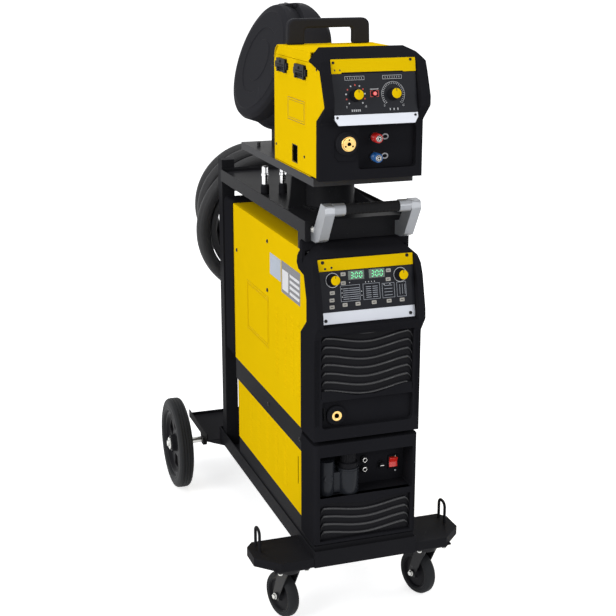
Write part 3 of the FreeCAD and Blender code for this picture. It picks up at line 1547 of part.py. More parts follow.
def biarc(start, start_way, end, end_way):
    """Two arcs that join two points with the given directions."""
    chord = end - start
    total = start_way + end_way
    lean = chord.dot(total)
    room = 2 * (1 - start_way.dot(end_way))
    if room < 1e-9:
        reach = chord.dot(chord) / (4 * chord.dot(end_way))
    else:
        reach = (-lean + math.sqrt(lean * lean + room * chord.dot(chord))) / room
    first = start + start_way * reach
    second = end - end_way * reach
    middle = (first + second) * 0.5
    edges = []
    for a, knee, b in ((start, first, middle), (middle, second, end)):
        spread = (knee - a).getAngle(b - a)
        weight = math.cos(spread)
        top = ((a + b) * 0.5 + knee * weight) * (1 / (1 + weight))
        edges.append(Part.Arc(a, top, b).toShape())
    return edges


def hose_point(turn):
    """The coil's centre line after that many turns, from the bottom of the first loop."""
    part = min(turn, 2.0) / 2.0
    radius = hose_big + (hose_small - hose_big) * part
    x = hose_big_x + (hose_small_x - hose_big_x) * part
    z = hose_big_z + (hose_small_z - hose_big_z) * part
    angle = 2 * math.pi * turn - math.pi / 2
    y = number(column_back) + hose_first + hose_pitch * turn
    return Vector(x + radius * math.cos(angle), y - number(centre_y), z + radius * math.sin(angle))


def hose_way(turn):
    """The coil's direction after that many turns."""
    step = 1e-4
    return (hose_point(turn + step) - hose_point(turn - step)).normalize()


def make_hose():
    """The hose package: out of the rear plug, into a coil, and up to its loose connector."""
    plug_end = number(power_deep + 14) + plug_long
    start = Vector(hose_x, plug_end - number(centre_y), hose_z)
    begin = Vector(hose_x, number(column_back) + hose_first - lead_radius - number(centre_y), hose_z)
    coil_start = hose_point(0)
    edges = [Part.makeLine(start, begin)]
    edges += biarc(begin, Vector(0, 1, 0), coil_start, hose_way(0))
    steps = int(hose_turns * 4)
    for i in range(steps):
        a, b = i / 4, (i + 1) / 4
        edges += biarc(hose_point(a), hose_way(a), hose_point(b), hose_way(b))
    last = hose_point(hose_turns)
    way = hose_way(hose_turns)
    tail = last + way * hose_diameter * 1.2
    edges.append(Part.makeLine(last, tail))
    route = Part.Wire(edges)
    circle = Part.Circle(start, Vector(0, 1, 0), hose_diameter / 2)
    shell = Part.BRepOffsetAPI.MakePipeShell(route)
    shell.add(Part.Wire([circle.toShape()]), False, False)
    shell.build()
    shell.makeSolid()
    piece = doc.addObject("Part::Feature", "hose_coil")
    piece.Shape = shell.shape()
    print("hose length", round(route.Length), "mm")
    points = route.discretize(Distance=12)
    least = 1e9
    for i, a in enumerate(points):
        for b in points[i + 14:]:
            least = min(least, a.distanceToPoint(b))
    print("hose gap to itself", round(least - hose_diameter, 2), "mm")
    node("hose_coil", piece)
    plug = rod("plug_rear", "Y", Size(hose_x, repr(hose_x)), power_deep + 14, Size(hose_z, repr(hose_z)), 26, plug_long)
    loose = doc.addObject("Part::Cylinder", "plug_loose")
    loose.Radius = 24.5
    loose.Height = 80
    loose.Placement = Placement(tail + way * 0.3, Rotation(Vector(0, 0, 1), way))
    couplings = []
    for x in (-117, -64):
        coupling = new_body("hose_coupling", x=x, y=400)
        slab(coupling, "XY", [(0, 0, 12)], deck_web + plate, deck_web + plate + 28)
        slab(coupling, "XY", [(0, 0, 8.5)], deck_web + plate + 28, deck_web + plate + 79)
        couplings.append(coupling)
    node("hose_plugs", group("plugs", [plug, loose] + couplings))


def make_case_screws():
    """The visible screws of the covers."""
    spots = [(611, 872), (298, 968), (301, 827), (301, 487), (17, 487)]
    pieces = []
    for sign in (-1, 1):
        for y, z in spots:
            head = Size(case_half.value * sign, words(case_half * sign))
            start = head - 2 if sign < 0 else head
            pieces.append(rod("screw", "X", start, Size(y, str(y)), Size(z, str(z)), 4.5, 2))
    return node("case_screws", group("screws", pieces))


# Build everything

make_base_tray()
make_wings()
make_caster_plates()
make_rear_platform()
make_rear_axle()
make_columns()
make_top_deck()
make_handle()
make_swivel_base()
for side, sign in (("left", -1), ("right", 1)):
    make_caster(side, sign)
    make_rear_wheel(side, sign)
make_power_cover()
make_base_pans()
make_power_fascia()
make_power_panel()
make_power_strips()
make_grilles()
make_weld_socket()
make_power_module()
make_rear_panels()
make_cooling_fan()
make_knob("power_knob_left", POWER, -power_knob_x, power_knob_z, 1.5)
make_knob("power_knob_right", POWER, power_knob_x, power_knob_z, 1.5)
make_cooler_cover()
make_cooler_fascia()
make_cooler_tank()
make_filler_cap()
make_cooler_fittings()
make_rocker_switch()
make_cooler_insides()
make_feeder_tray()
make_feeder_case()
make_feeder_door()
make_door_latches()
make_feeder_fascia()
make_feeder_strips()
make_knob("feeder_knob_left", FEEDER, feed_knob_left, feed_knob_z, 1.5)
make_knob("feeder_knob_right", FEEDER, feed_knob_right, feed_knob_z, 1.5)
make_feeder_button()
make_euro_socket()
make_couplers()
make_feeder_handle()
make_spool_lid()
make_spool_case()
make_wire_spool()
make_wire_drive()
make_hose()
make_case_screws()

doc.recompute()
for item in doc.Objects:
    if "Invalid" in item.State or "Error" in item.State:
        raise ValueError("%s did not build" % item.Label)
for label, piece in nodes.items():
    if piece.Shape.isNull() or not piece.Shape.isValid():
        raise ValueError("%s has no sound shape" % label)
    piece.Shape.exportStep("parts/%s.step" % label)
print(len(nodes), "nodes")
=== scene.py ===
"""Welding set on a cart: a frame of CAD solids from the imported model, dressed with its own surfaces and finishes."""
import json
import math
import bmesh
import bpy
import numpy as np
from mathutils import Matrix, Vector

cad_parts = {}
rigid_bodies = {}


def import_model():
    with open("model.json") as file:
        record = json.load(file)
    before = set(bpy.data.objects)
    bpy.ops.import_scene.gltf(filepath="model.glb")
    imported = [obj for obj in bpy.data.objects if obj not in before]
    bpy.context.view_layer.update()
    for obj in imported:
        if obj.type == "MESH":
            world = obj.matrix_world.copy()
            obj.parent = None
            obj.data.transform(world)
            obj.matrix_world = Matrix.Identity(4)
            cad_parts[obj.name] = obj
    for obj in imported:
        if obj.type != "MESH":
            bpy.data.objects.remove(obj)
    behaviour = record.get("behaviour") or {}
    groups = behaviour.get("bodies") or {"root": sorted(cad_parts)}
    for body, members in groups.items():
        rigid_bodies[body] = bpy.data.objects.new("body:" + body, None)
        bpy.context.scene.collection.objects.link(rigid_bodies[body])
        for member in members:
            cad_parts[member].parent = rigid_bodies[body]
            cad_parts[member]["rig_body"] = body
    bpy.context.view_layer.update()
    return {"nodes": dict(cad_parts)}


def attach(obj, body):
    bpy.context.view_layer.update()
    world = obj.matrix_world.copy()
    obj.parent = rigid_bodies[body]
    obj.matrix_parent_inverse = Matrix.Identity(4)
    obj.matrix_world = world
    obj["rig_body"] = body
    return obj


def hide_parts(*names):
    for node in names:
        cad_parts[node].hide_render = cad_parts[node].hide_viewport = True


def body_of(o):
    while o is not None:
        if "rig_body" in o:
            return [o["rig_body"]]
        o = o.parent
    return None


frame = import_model()
nodes = frame["nodes"]

# Camera, floor and lamps. The object stands on a plain pale floor under soft studio lamps.
# The camera looks down a little, from the object's left front, through a lens of 73.7 mm.
MIDDLE = 0.47075
LENS = 73.7
FLOOR_HALF = 40
GLOW_NEAR, GLOW_FAR = 0.7, 4.5


def at(x, y, z):
    """A point in metres, from millimetres measured from the front edge of the yellow side covers."""
    return np.array([x / 1000, y / 1000 - MIDDLE, z / 1000])


eye = bpy.data.objects.new("camera", bpy.data.cameras.new("camera"))
bpy.context.scene.collection.objects.link(eye)
eye.data.lens = LENS
eye.data.sensor_width = 36
eye.location = at(-1146.1, -2961.0, 1761.0)
eye.rotation_euler = (Vector(at(-57.7, 200, 794)) - eye.location).to_track_quat("-Z", "Y").to_euler()
eye.data.clip_end = 60
bpy.context.scene.camera = eye
bpy.context.scene.view_settings.view_transform = "Standard"


def lamp(name, place, width, height, power, target=(0, 0, 0.8)):
    """A flat soft lamp at a point, turned to face another."""
    light = bpy.data.lights.new(name, "AREA")
    light.shape = "RECTANGLE"
    light.size, light.size_y, light.energy = width, height, power
    thing = bpy.data.objects.new(name, light)
    thing.location = place
    thing.rotation_euler = (Vector(target) - Vector(place)).to_track_quat("-Z", "Y").to_euler()
    bpy.context.scene.collection.objects.link(thing)


lamp("lamp_left", (-3.6, -1.6, 2.6), 2.4, 2.6, 86)
lamp("lamp_front", (1.2, -4.6, 2.4), 2.6, 2.0, 52)
lamp("lamp_top", (0.2, 0.3, 4.2), 3.0, 3.0, 50)
lamp("lamp_right", (3.6, 0.6, 1.8), 1.6, 2.6, 26)
lamp("lamp_back", (3.0, 3.0, 2.4), 2.0, 2.0, 14, (0, 0, 0.9))


def tree_of(name, world=None):
    """A material, or the world, with its nodes cleared: the holder, its tree and its output socket."""
    holder = world or bpy.data.materials.new(name)
    holder.use_nodes = True
    tree = holder.node_tree
    tree.nodes.clear()
    kind = "ShaderNodeOutputWorld" if world else "ShaderNodeOutputMaterial"
    return holder, tree, tree.nodes.new(kind).inputs["Surface"]


def add(tree, kind, sockets=None, **settings):
    """A node with its settings, each socket given a constant or the output that it is linked to."""
    made = tree.nodes.new("ShaderNode" + kind)
    for key, value in settings.items():
        setattr(made, key, value)
    for key, value in (sockets or {}).items():
        if isinstance(value, bpy.types.NodeSocket):
            tree.links.new(value, made.inputs[key])
        else:
            made.inputs[key].default_value = value
    return made


def seen_directly(tree):
    """One where a ray comes from the camera or from a shiny or clear surface, and zero elsewhere."""
    path = add(tree, "LightPath")
    total = path.outputs["Is Camera Ray"]
    for other in ("Is Glossy Ray", "Is Transmission Ray"):
        total = add(tree, "Math", {0: total, 1: path.outputs[other]}, operation="MAXIMUM").outputs[0]
    return total


world = bpy.data.worlds.new("studio")
bpy.context.scene.world = world
_, tree, surface = tree_of("studio", world)
dim = add(tree, "Background", {"Color": (0.93, 0.96, 1, 1), "Strength": 0.27})
bright = add(tree, "Background", {"Color": (1, 1, 1, 1), "Strength": 1.0})
both = add(tree, "MixShader", {"Fac": seen_directly(tree), 1: dim.outputs[0], 2: bright.outputs[0]})
tree.links.new(both.outputs[0], surface)


def mesh_piece(name, points, faces, node, material, smooth=40.0, merge=False):
    """One object from an array of points and lists of corner numbers. It rides on the body of a CAD node, or stands
    alone.
    merge joins equal points and turns the normals outward."""
    data = bpy.data.meshes.new(name)
    data.from_pydata(np.asarray(points, float).reshape(-1, 3).tolist(), [], faces)
    data.validate()
    if merge:
        work = bmesh.new()
        work.from_mesh(data)
        bmesh.ops.remove_doubles(work, verts=work.verts, dist=1e-7)
        bmesh.ops.dissolve_degenerate(work, edges=work.edges, dist=1e-8)
        bmesh.ops.recalc_face_normals(work, faces=work.faces)
        work.to_mesh(data)
        work.free()
    piece = bpy.data.objects.new(name, data)
    bpy.context.scene.collection.objects.link(piece)
    if smooth:
        data.shade_smooth()
        data.set_sharp_from_angle(angle=math.radians(smooth))
    data.materials.append(material)
    if node:
        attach(piece, body_of(nodes[node])[0])
    return piece


# The floor is matt and near white. Seen by the camera it also glows, more and more with the distance from the
# object, so that it meets the white backdrop without an edge and still keeps the object's shadow.
ground, tree, surface = tree_of("pale_floor")
matt = add(tree, "BsdfDiffuse", {"Color": (0.86, 0.86, 0.86, 1)})
away = add(tree, "VectorMath", {0: add(tree, "TexCoord").outputs["Object"]}, operation="LENGTH")
rise = add(tree, "MapRange", {"Value": away.outputs["Value"], "From Min": GLOW_NEAR, "From Max": GLOW_FAR,
                              "To Min": 0.72, "To Max": 1.0}, interpolation_type="SMOOTHSTEP")
glow = add(tree, "Emission", {"Color": (1, 1, 1, 1), "Strength": rise.outputs["Result"]})
none = add(tree, "Emission", {"Strength": 0.0})
pick = add(tree, "MixShader", {"Fac": seen_directly(tree), 1: none.outputs[0], 2: glow.outputs[0]})
total = add(tree, "AddShader", {0: matt.outputs[0], 1: pick.outputs[0]})
tree.links.new(total.outputs[0], surface)
corners = [(x * FLOOR_HALF, y * FLOOR_HALF, 0) for x, y in ((-1, -1), (1, -1), (1, 1), (-1, 1))]
mesh_piece("floor", corners, [(0, 1, 2, 3)], None, ground, 0)


# Hose package: a black woven sleeve round the cables and water hoses of the torch extension.
# It leaves the rear plug, is wound into a loose coil over the pegs, and ends in its own connector.
def finish(name, colour, rough, grain, relief, drift, metal=0.0, wear=None, blotch=6.0, shine=0.5):
    """A coated, moulded or cast surface: colour and gloss drift with broad noise, and a fine grain is pressed in,
    relief millimetres deep. wear is a second colour that shows in thin broken scratches, and shine is the level
    of the surface's mirroring."""
    material, tree, surface = tree_of(name)
    where = add(tree, "TexCoord").outputs["Object"]
    broad = add(tree, "TexNoise", {"Scale": blotch, "Detail": 5.0, "Vector": where}).outputs["Fac"]
    low, high = [c * (1 - drift) for c in colour], [min(1.0, c * (1 + drift)) for c in colour]
    shade = add(tree, "Mix", {0: broad, 6: (*low, 1), 7: (*high, 1)}, data_type="RGBA").outputs[2]
    if wear:
        scratch = add(tree, "TexNoise", {"Scale": 60.0, "Detail": 8.0, "Distortion": 1.5, "Vector": where})
        thin = add(tree, "MapRange", {"Value": scratch.outputs["Fac"], "From Min": 0.66, "From Max": 0.78})
        shade = add(tree, "Mix", {0: thin.outputs["Result"], 6: shade, 7: (*wear, 1)}, data_type="RGBA").outputs[2]
    gloss = add(tree, "MapRange", {"Value": broad, "To Min": max(0.05, rough - 0.07), "To Max": rough + 0.07})
    fine = add(tree, "TexNoise", {"Scale": grain, "Detail": 3.0, "Vector": where})
    bump = add(tree, "Bump", {"Height": fine.outputs["Fac"], "Strength": 0.35, "Distance": relief / 1000})
    shader = add(tree, "BsdfPrincipled", {
        "Base Color": shade, "Roughness": gloss.outputs["Result"], "Normal": bump.outputs["Normal"],
        "Metallic": metal, "Specular IOR Level": shine})
    tree.links.new(shader.outputs[0], surface)
    return material


def woven(name, colour, pale, across, along):
    """A braided sleeve on the piece's own map: two crossed sets of threads, with a painted highlight, a paler colour,
    where one lies on top.
    """
    material, tree, surface = tree_of(name)
    where = add(tree, "UVMap", uv_map="UVMap").outputs["UV"]
    heights = []
    for turn in (1, -1):
        lay = add(tree, "Mapping", {"Scale": (across, along * turn, 1), "Vector": where})
        thread = add(tree, "TexWave", {"Scale": 1.0, "Distortion": 0.3, "Vector": lay.outputs[0]},
                     bands_direction="DIAGONAL")
        heights.append(thread.outputs["Fac"])
    top = add(tree, "Math", {0: heights[0], 1: heights[1]}, operation="MAXIMUM").outputs[0]
    # Painted highlight: the pale colour is mixed in where a thread stands highest.
    tint = add(tree, "Mix", {0: top, 6: (*colour, 1), 7: (*pale, 1)}, data_type="RGBA")
    bump = add(tree, "Bump", {"Height": top, "Strength": 0.6, "Distance": 0.0008})
    shader = add(tree, "BsdfPrincipled", {
        "Base Color": tint.outputs[2], "Normal": bump.outputs["Normal"], "Roughness": 0.5,
        "Specular IOR Level": 0.3, "Sheen Weight": 0.06, "Sheen Roughness": 0.4})
    tree.links.new(shader.outputs[0], surface)
    return material


def grid_faces(rows, columns, close_rows=False, close_columns=False, start=0):
    """Four-cornered faces between neighbouring points of a grid, wrapped round where it is closed."""
    r = np.arange(rows if close_rows else rows - 1)
    c = np.arange(columns if close_columns else columns - 1)
    i, j = np.meshgrid(r, c, indexing="ij")
    i2, j2 = (i + 1) % rows, (j + 1) % columns
    corners = np.stack([i * columns + j, i * columns + j2, i2 * columns + j2, i2 * columns + j], -1)
    return (corners.reshape(-1, 4) + start).tolist()


def circle(steps):
    """The cosine and sine of each of that many angles round a circle."""
    angle = np.linspace(0, 2 * math.pi, steps, endpoint=False)
    return np.stack([np.cos(angle), np.sin(angle)], -1)


def tube(name, line, radius, sides, node, material, pitch=1.0, closed_ends=True):
    """A round section carried along a line: each point is the line's point plus radius times the cosine and
    sine of the angle along two directions square to the line, which are carried on without twisting."""
    line = np.asarray(line, float)
    way = np.gradient(line, axis=0)
    way /= np.linalg.norm(way, axis=1)[:, None]
    side = np.zeros_like(line)
    first = np.cross(way[0], (0, 0, 1) if abs(way[0][2]) < 0.9 else (1, 0, 0))
    for i in range(len(line)):
        first = first - way[i] * first.dot(way[i])
        first /= np.linalg.norm(first)
        side[i] = first
    up = np.cross(way, side)
    cos, sin = circle(sides).T[:, None, :, None]
    points = line[:, None] + (cos * side[:, None] + sin * up[:, None]) * radius
    faces = [f[::-1] for f in grid_faces(len(line), sides, False, True)]
    if closed_ends:
        faces += [list(range(sides)), [(len(line) - 1) * sides + k for k in range(sides)][::-1]]
    piece = mesh_piece(name, points, faces, node, material, 50)
    run = np.concatenate([[0], np.cumsum(np.linalg.norm(np.diff(line, axis=0), axis=1))])
    layer = piece.data.uv_layers.new(name="UVMap")
    corner = np.zeros(len(piece.data.loops), int)
    piece.data.loops.foreach_get("vertex_index", corner)
    row, column = corner // sides, corner % sides
    loop_face = np.repeat(np.arange(len(piece.data.polygons)), [len(p.vertices) for p in piece.data.polygons])
    widest = np.zeros(len(piece.data.polygons), int)
    np.maximum.at(widest, loop_face, column)
    column = np.where((column == 0) & (widest[loop_face] == sides - 1), sides, column)
    layer.data.foreach_set("uv", np.stack([column / sides, run[row] * pitch], -1).astype(np.float32).ravel())
    return piece


HOSE_WIDE = 0.044
CABLE_RADIUS = 0.0105
CABLE_ASIDE = 0.0335
PLUG_X, PLUG_Z = -10, 573
COIL_BACK, COIL_PITCH, TURNS = 861, 46.5, 3.25
COIL_FIRST, COIL_LAST = np.array([70, 830, 257]), np.array([24, 940, 178])


def hose_place(turn, pull=0.981):
    """The coil's middle line after that many turns: a circle that moves and shrinks over the first two turns. The
    spline cuts its corners, so its points lie further out by pull."""
    x, z, radius = COIL_FIRST + (COIL_LAST - COIL_FIRST) * min(turn, 2.0) / 2.0
    angle = 2 * math.pi * turn - math.pi / 2
    reach = radius / pull
    return at(x + reach * math.cos(angle), COIL_BACK + COIL_PITCH * turn, z + reach * math.sin(angle))


route = [at(PLUG_X, y, PLUG_Z) for y in (727, 748, 814)] + [at(37, COIL_BACK, PLUG_Z)]
route += [hose_place(0.0205 + step / 16) for step in range(52)]
ahead = hose_place(TURNS + 0.0001) - hose_place(TURNS - 0.0001)
ahead /= np.linalg.norm(ahead)
last = hose_place(TURNS, 1.0)
route += [last + ahead * 0.02, last + ahead * HOSE_WIDE * 1.2]
curve = bpy.data.curves.new("hose_line", "CURVE")
curve.dimensions = "3D"
curve.resolution_u = 8
spline = curve.splines.new("NURBS")
spline.points.add(len(route) - 1)
spline.points.foreach_set("co", np.hstack([np.array(route), np.ones((len(route), 1))]).ravel())
spline.order_u = 3
spline.use_endpoint_u = True
line_object = bpy.data.objects.new("hose_line", curve)
bpy.context.scene.collection.objects.link(line_object)
read = bpy.data.meshes.new_from_object(line_object)
hose_points = np.zeros(len(read.vertices) * 3)
read.vertices.foreach_get("co", hose_points)
hose_points = hose_points.reshape(-1, 3)
bpy.data.objects.remove(line_object)
sleeve = woven("hose_sleeve", (0.008, 0.008, 0.009), (0.022, 0.022, 0.024), 5.0, 60.0)
hose = tube("hose_sleeve", hose_points, HOSE_WIDE / 2, 28, "hose_coil", sleeve, 1 / (math.pi * HOSE_WIDE))
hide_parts("hose_coil")


# A thinner control cable is tied along the inside of the coil. It follows the sleeve's own line, moved by the two
# radii along the line's curvature, towards the middle of the coil.
def evened(line, rounds):
    """Each point of a line moved to the mean of itself and its neighbours, that many times."""
    for _ in range(rounds):
        line[1:-1] = (line[:-2] + 2 * line[1:-1] + line[2:]) / 4
    return line


bend = evened(np.gradient(np.gradient(hose_points, axis=0), axis=0), 30)
bend /= np.linalg.norm(bend, axis=1)[:, None]
count = len(hose_points)
beside = evened((hose_points + bend * CABLE_ASIDE)[int(count * 0.13):int(count * 0.965)], 12)
cable = tube("control_cable", beside, CABLE_RADIUS, 18, "hose_coil", sleeve, 16.0)


def rounded(profile, steps=5):
    """A profile whose corners given as (radius, along, round) become arcs of that many steps."""
    out_points = []
    for i, corner in enumerate(profile):
        if len(corner) < 3:
            out_points.append(corner[:2])
            continue
        here = np.array(corner[:2], float)
        before = np.array(profile[i - 1][:2], float) - here
        after = np.array(profile[(i + 1) % len(profile)][:2], float) - here
        before /= np.linalg.norm(before)
        after /= np.linalg.norm(after)
        half = math.acos(max(-1, min(1, before.dot(after)))) / 2
        back = corner[2] / math.tan(half)
        centre = here + (before + after) / np.linalg.norm(before + after) * corner[2] / math.sin(half)
        start, end = here + before * back - centre, here + after * back - centre
        spread = math.acos(max(-1, min(1, start.dot(end) / corner[2] ** 2)))
        for k in range(steps + 1):
            t = k / steps
            mix = (math.sin((1 - t) * spread) * start + math.sin(t * spread) * end) / math.sin(spread)
            out_points.append(tuple(centre + mix))
    return out_points


def lathe(name, profile, centre, axis, sides, node, material, smooth=40.0, first=None, flutes=None):
    """A turned surface: each point is the centre plus the profile's distance along the axis plus its radius times
    the cosine and sine of the turn. The profile lists (radius, along) in millimetres, and its ends lie on the axis
    or meet each other. flutes gives how far the radii are cut back, from the profile and the angles."""
    axis = np.asarray(axis, float) / np.linalg.norm(axis)
    if first is None:
        first = np.cross(axis, (0, 0, 1) if abs(axis[2]) < 0.9 else (0, 1, 0))
    side = first - axis * axis.dot(first)
    side /= np.linalg.norm(side)
    profile = np.asarray(profile, float)
    closed = np.allclose(profile[0], profile[-1], atol=1e-6)
    if closed:
        profile = profile[:-1]
    radii = np.repeat(profile[:, :1], sides, 1)
    if flutes:
        radii = radii - flutes(profile, np.linspace(0, 2 * math.pi, sides, endpoint=False))
    ring = circle(sides) @ np.stack([side, np.cross(axis, side)])
    points = centre + (profile[:, 1][:, None, None] * axis + radii[..., None] * ring) / 1000
    return mesh_piece(name, points, grid_faces(len(profile), sides, closed, True), node, material, smooth, True)


moulded = finish("moulded_black", (0.02, 0.02, 0.023), rough=0.42, grain=1400, relief=0.04, drift=0.15, shine=0.005)
hose_direction = hose_points[-1] - hose_points[-2]
hose_direction /= np.linalg.norm(hose_direction)
collar = [(0, 0), (22.5, 0), (24.4, 3, 2), (24.4, 60, 3), (20, 66, 2), (20, 78, 2), (14, 80), (0, 80)]
loose_plug = lathe("hose_connector", rounded(collar), hose_points[-1] - hose_direction * 0.0005, hose_direction, 48,
                   "hose_plugs", moulded)
rear_collar = [(0, 68), (22.5, 68), (26, 64, 2), (26, 20, 3), (24, 16, 1), (24, 0), (0, 0)]
rear_plug = lathe("hose_rear_plug", rounded(rear_collar), at(PLUG_X, 659, PLUG_Z), (0, 1, 0), 48, "hose_plugs",
                  moulded)
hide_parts("hose_plugs")


# Cart frame: folded and welded steel, powder-coated black with a light satin gloss. The corners of the folded sheet
# are softened, and the coating is scuffed a little where it is handled and stepped on.
def bevel(piece, width, angle=35.0):
    """The sharp edges of a piece get a narrow strip of two steps, as wide as that in millimetres."""
    edges = piece.modifiers.new("edges", "BEVEL")
    edges.width, edges.segments, edges.limit_method = width / 1000, 2, "ANGLE"
    edges.angle_limit = math.radians(angle)
    return edges


def dress(material, *names, edge=0.0):
    """The same finish on several nodes, their loose triangles joined and their edges softened."""
    for name in names:
        slots = nodes[name].data.materials
        slots.clear()
        slots.append(material)
        if edge:
            nodes[name].modifiers.new("join", "WELD").merge_threshold = 0.00002
            bevel(nodes[name], edge, 30)


def slabs(name, parts, node, material, smooth=30.0):
    """One piece of flat outlines given a thickness: parts are (outline, place, low, high). place turns (across, up,
    out) in millimetres into points, and its three directions are right-handed."""
    points, faces, start = [], [], 0
    for outline, place, low, high in parts:
        x, z = np.asarray(outline, float).T
        if np.sum(x * np.roll(z, -1) - np.roll(x, -1) * z) < 0:
            x, z = x[::-1], z[::-1]
        points += [place(x, z, low), place(x, z, high)]
        low_ring = [start + k for k in range(len(x))]
        high_ring = [k + len(x) for k in low_ring]
        faces += [low_ring[::-1], high_ring]
        faces += list(zip(low_ring, low_ring[1:] + low_ring[:1], high_ring[1:] + high_ring[:1], high_ring))
        start += 2 * len(x)
    return mesh_piece(name, np.concatenate(points), faces, node, material, smooth)


def plates(name, outlines, place, low, high, node, material, edge=0.0, smooth=30.0):
    """Flat shapes of one thickness in one place and piece."""
    piece = slabs(name, [(outline, place, low, high) for outline in outlines], node, material, smooth)
    if edge:
        bevel(piece, edge)
    return piece


def disc(x, z, radius, steps=24):
    """A round or many-sided outline."""
    return (x, z) + radius * circle(steps)


def box_outline(x0, x1, z0, z1, radius=0.0, steps=5):
    """A rectangle with rounded corners."""
    if not radius:
        return np.array([(x0, z0), (x1, z0), (x1, z1), (x0, z1)], float)
    turn = np.linspace(0, math.pi / 2, steps + 1)
    corners = [(x1 - radius, z1 - radius, 0), (x0 + radius, z1 - radius, 1), (x0 + radius, z0 + radius, 2),
               (x1 - radius, z0 + radius, 3)]
    return np.concatenate([np.stack([cx + radius * np.cos(turn + q * math.pi / 2),
                                     cz + radius * np.sin(turn + q * math.pi / 2)], -1) for cx, cz, q in corners])


def facing(origin, across, up, out):
    """Places shapes in a plane through origin with the three given directions."""
    origin, across, up, out = (np.asarray(v, float) for v in (origin, across, up, out))
    return lambda u, v, w: origin + (np.multiply.outer(u, across) + np.multiply.outer(v, up)
                                     + np.multiply.outer(w + 0 * np.asarray(u), out)) / 1000


def front_of(y):
    """Places shapes on a front-facing wall at y: across is x, up is z, out is towards -Y."""
    return facing(at(0, y, 0), (1, 0, 0), (0, 0, 1), (0, -1, 0))


def left_of(x):
    """Places shapes on a left-facing wall at x: across runs towards the front, up is z, out is towards -X."""
    return facing(at(x, 0, 0), (0, -1, 0), (0, 0, 1), (-1, 0, 0))


def right_of(x):
    """Places shapes on a right-facing wall at x: across is y, up is z, out is towards +X."""
    return facing(at(x, 0, 0), (0, 1, 0), (0, 0, 1), (1, 0, 0))


powder_black = finish("powder_black", (0.0185, 0.0185, 0.021), rough=0.4, grain=700, relief=0.05, drift=0.2,
                      wear=(0.03, 0.03, 0.033), shine=0.005)
dress(powder_black, "base_tray", "caster_wings", "rear_platform", "rear_columns", edge=0.8)
deck_black = finish("deck_gloss", (0.019, 0.019, 0.021), rough=0.3, grain=500, relief=0.03, drift=0.2,
                    wear=(0.045, 0.045, 0.05), shine=0.01)
dress(deck_black, "top_deck", "swivel_base", edge=0.8)
zinc = finish("bright_zinc", (0.62, 0.62, 0.6), rough=0.3, grain=900, relief=0.02, drift=0.1, metal=1.0)
dress(zinc, "rear_axle", edge=0.5)


def bolts(name, spots, radius, high, node, material, washer=0.0):
    """Hexagon heads with their washers: spots are (point, outward direction)."""
    parts = []
    for point, out in spots:
        out = np.asarray(out, float) / np.linalg.norm(out)
        across = np.cross(out, (0, 0, 1) if abs(out[2]) < 0.9 else (1, 0, 0))
        across /= np.linalg.norm(across)
        place = facing(point, across, np.cross(out, across), out)
        if washer:
            parts.append((disc(0, 0, washer, 20), place, 0, 1.2))
        parts.append((disc(0, 0, radius, 6), place, 1.0 if washer else 0, high))
    bevel(slabs(name, parts, node, material), radius * 0.08, 30)


# Casters: pressed forks on ball races, with grey rubber wheels that run on the bolts through the forks.
# Tyre and hub are turned, and each fork stands a little askew with its wheel behind the swivel.
SIDES = (("left", -1), ("right", 1))
CASTER_X, CASTER_Y, CASTER_TRAIL, CASTER_RADIUS = 200, -60, 33, 63
CASTER_TURN = math.radians(16)
CASTER_AXLE = np.array([math.cos(CASTER_TURN), math.sin(CASTER_TURN), 0])
fork_black = finish("fork_coating", (0.02, 0.02, 0.022), rough=0.33, grain=900, relief=0.03, drift=0.2,
                    wear=(0.09, 0.09, 0.09), shine=0.15)
dress(fork_black, "caster_fork_left", "caster_fork_right", "caster_plates", edge=0.6)
rubber = finish("wheel_rubber", (0.022, 0.023, 0.025), rough=0.6, grain=500, relief=0.08, drift=0.25, blotch=14.0,
                shine=0.1)
hub_black = finish("wheel_hub", (0.011, 0.011, 0.013), rough=0.4, grain=900, relief=0.04, drift=0.15, shine=0.05)
caster_tyre = [(45, -12), (47, -15, 1.5), (51, -15.5, 0.8), (52, -14.4, 0.8), (54, -15.8, 1), (58, -15, 3), (63, -8, 8),
               (63, 8, 8), (58, 15, 3), (54, 15.8, 1), (52, 14.4, 0.8), (51, 15.5, 0.8), (47, 15, 1.5), (45, 12),
               (45, -12)]
caster_hub = [(6.1, -17.5), (14, -17.5, 1.5), (17, -10, 4), (40, -8, 3), (43, -13, 1), (46, -13), (46, 13), (43, 13, 1),
              (40, 8, 3), (17, 10, 4), (14, 17.5, 1.5), (6.1, 17.5), (6.1, -17.5)]
for side, sign in SIDES:
    wheel = "caster_wheel_" + side
    middle = at(CASTER_X * sign - CASTER_TRAIL * math.sin(CASTER_TURN),
                CASTER_Y + CASTER_TRAIL * math.cos(CASTER_TURN), CASTER_RADIUS)
    tyre = lathe("caster_tyre_" + side, rounded(caster_tyre), middle, CASTER_AXLE, 72, wheel, rubber, 50)
    lathe("caster_hub_" + side, rounded(caster_hub), middle, CASTER_AXLE, 56, wheel, hub_black)
    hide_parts(wheel)
    ends = [(middle + CASTER_AXLE * s * 0.025, CASTER_AXLE * s) for s in (-1, 1)]
    bolts("caster_nuts_" + side, ends, 7.0, 6.0, "caster_fork_" + side, zinc, 9.0)
plate_spots = [(at(CASTER_X * sign + x, CASTER_Y + y, 162), (0, 0, -1))
               for sign in (-1, 1) for x in (-37, 37) for y in (-37, 37)]
bolts("caster_plate_bolts", plate_spots, 6.0, 4.0, "caster_plates", zinc)


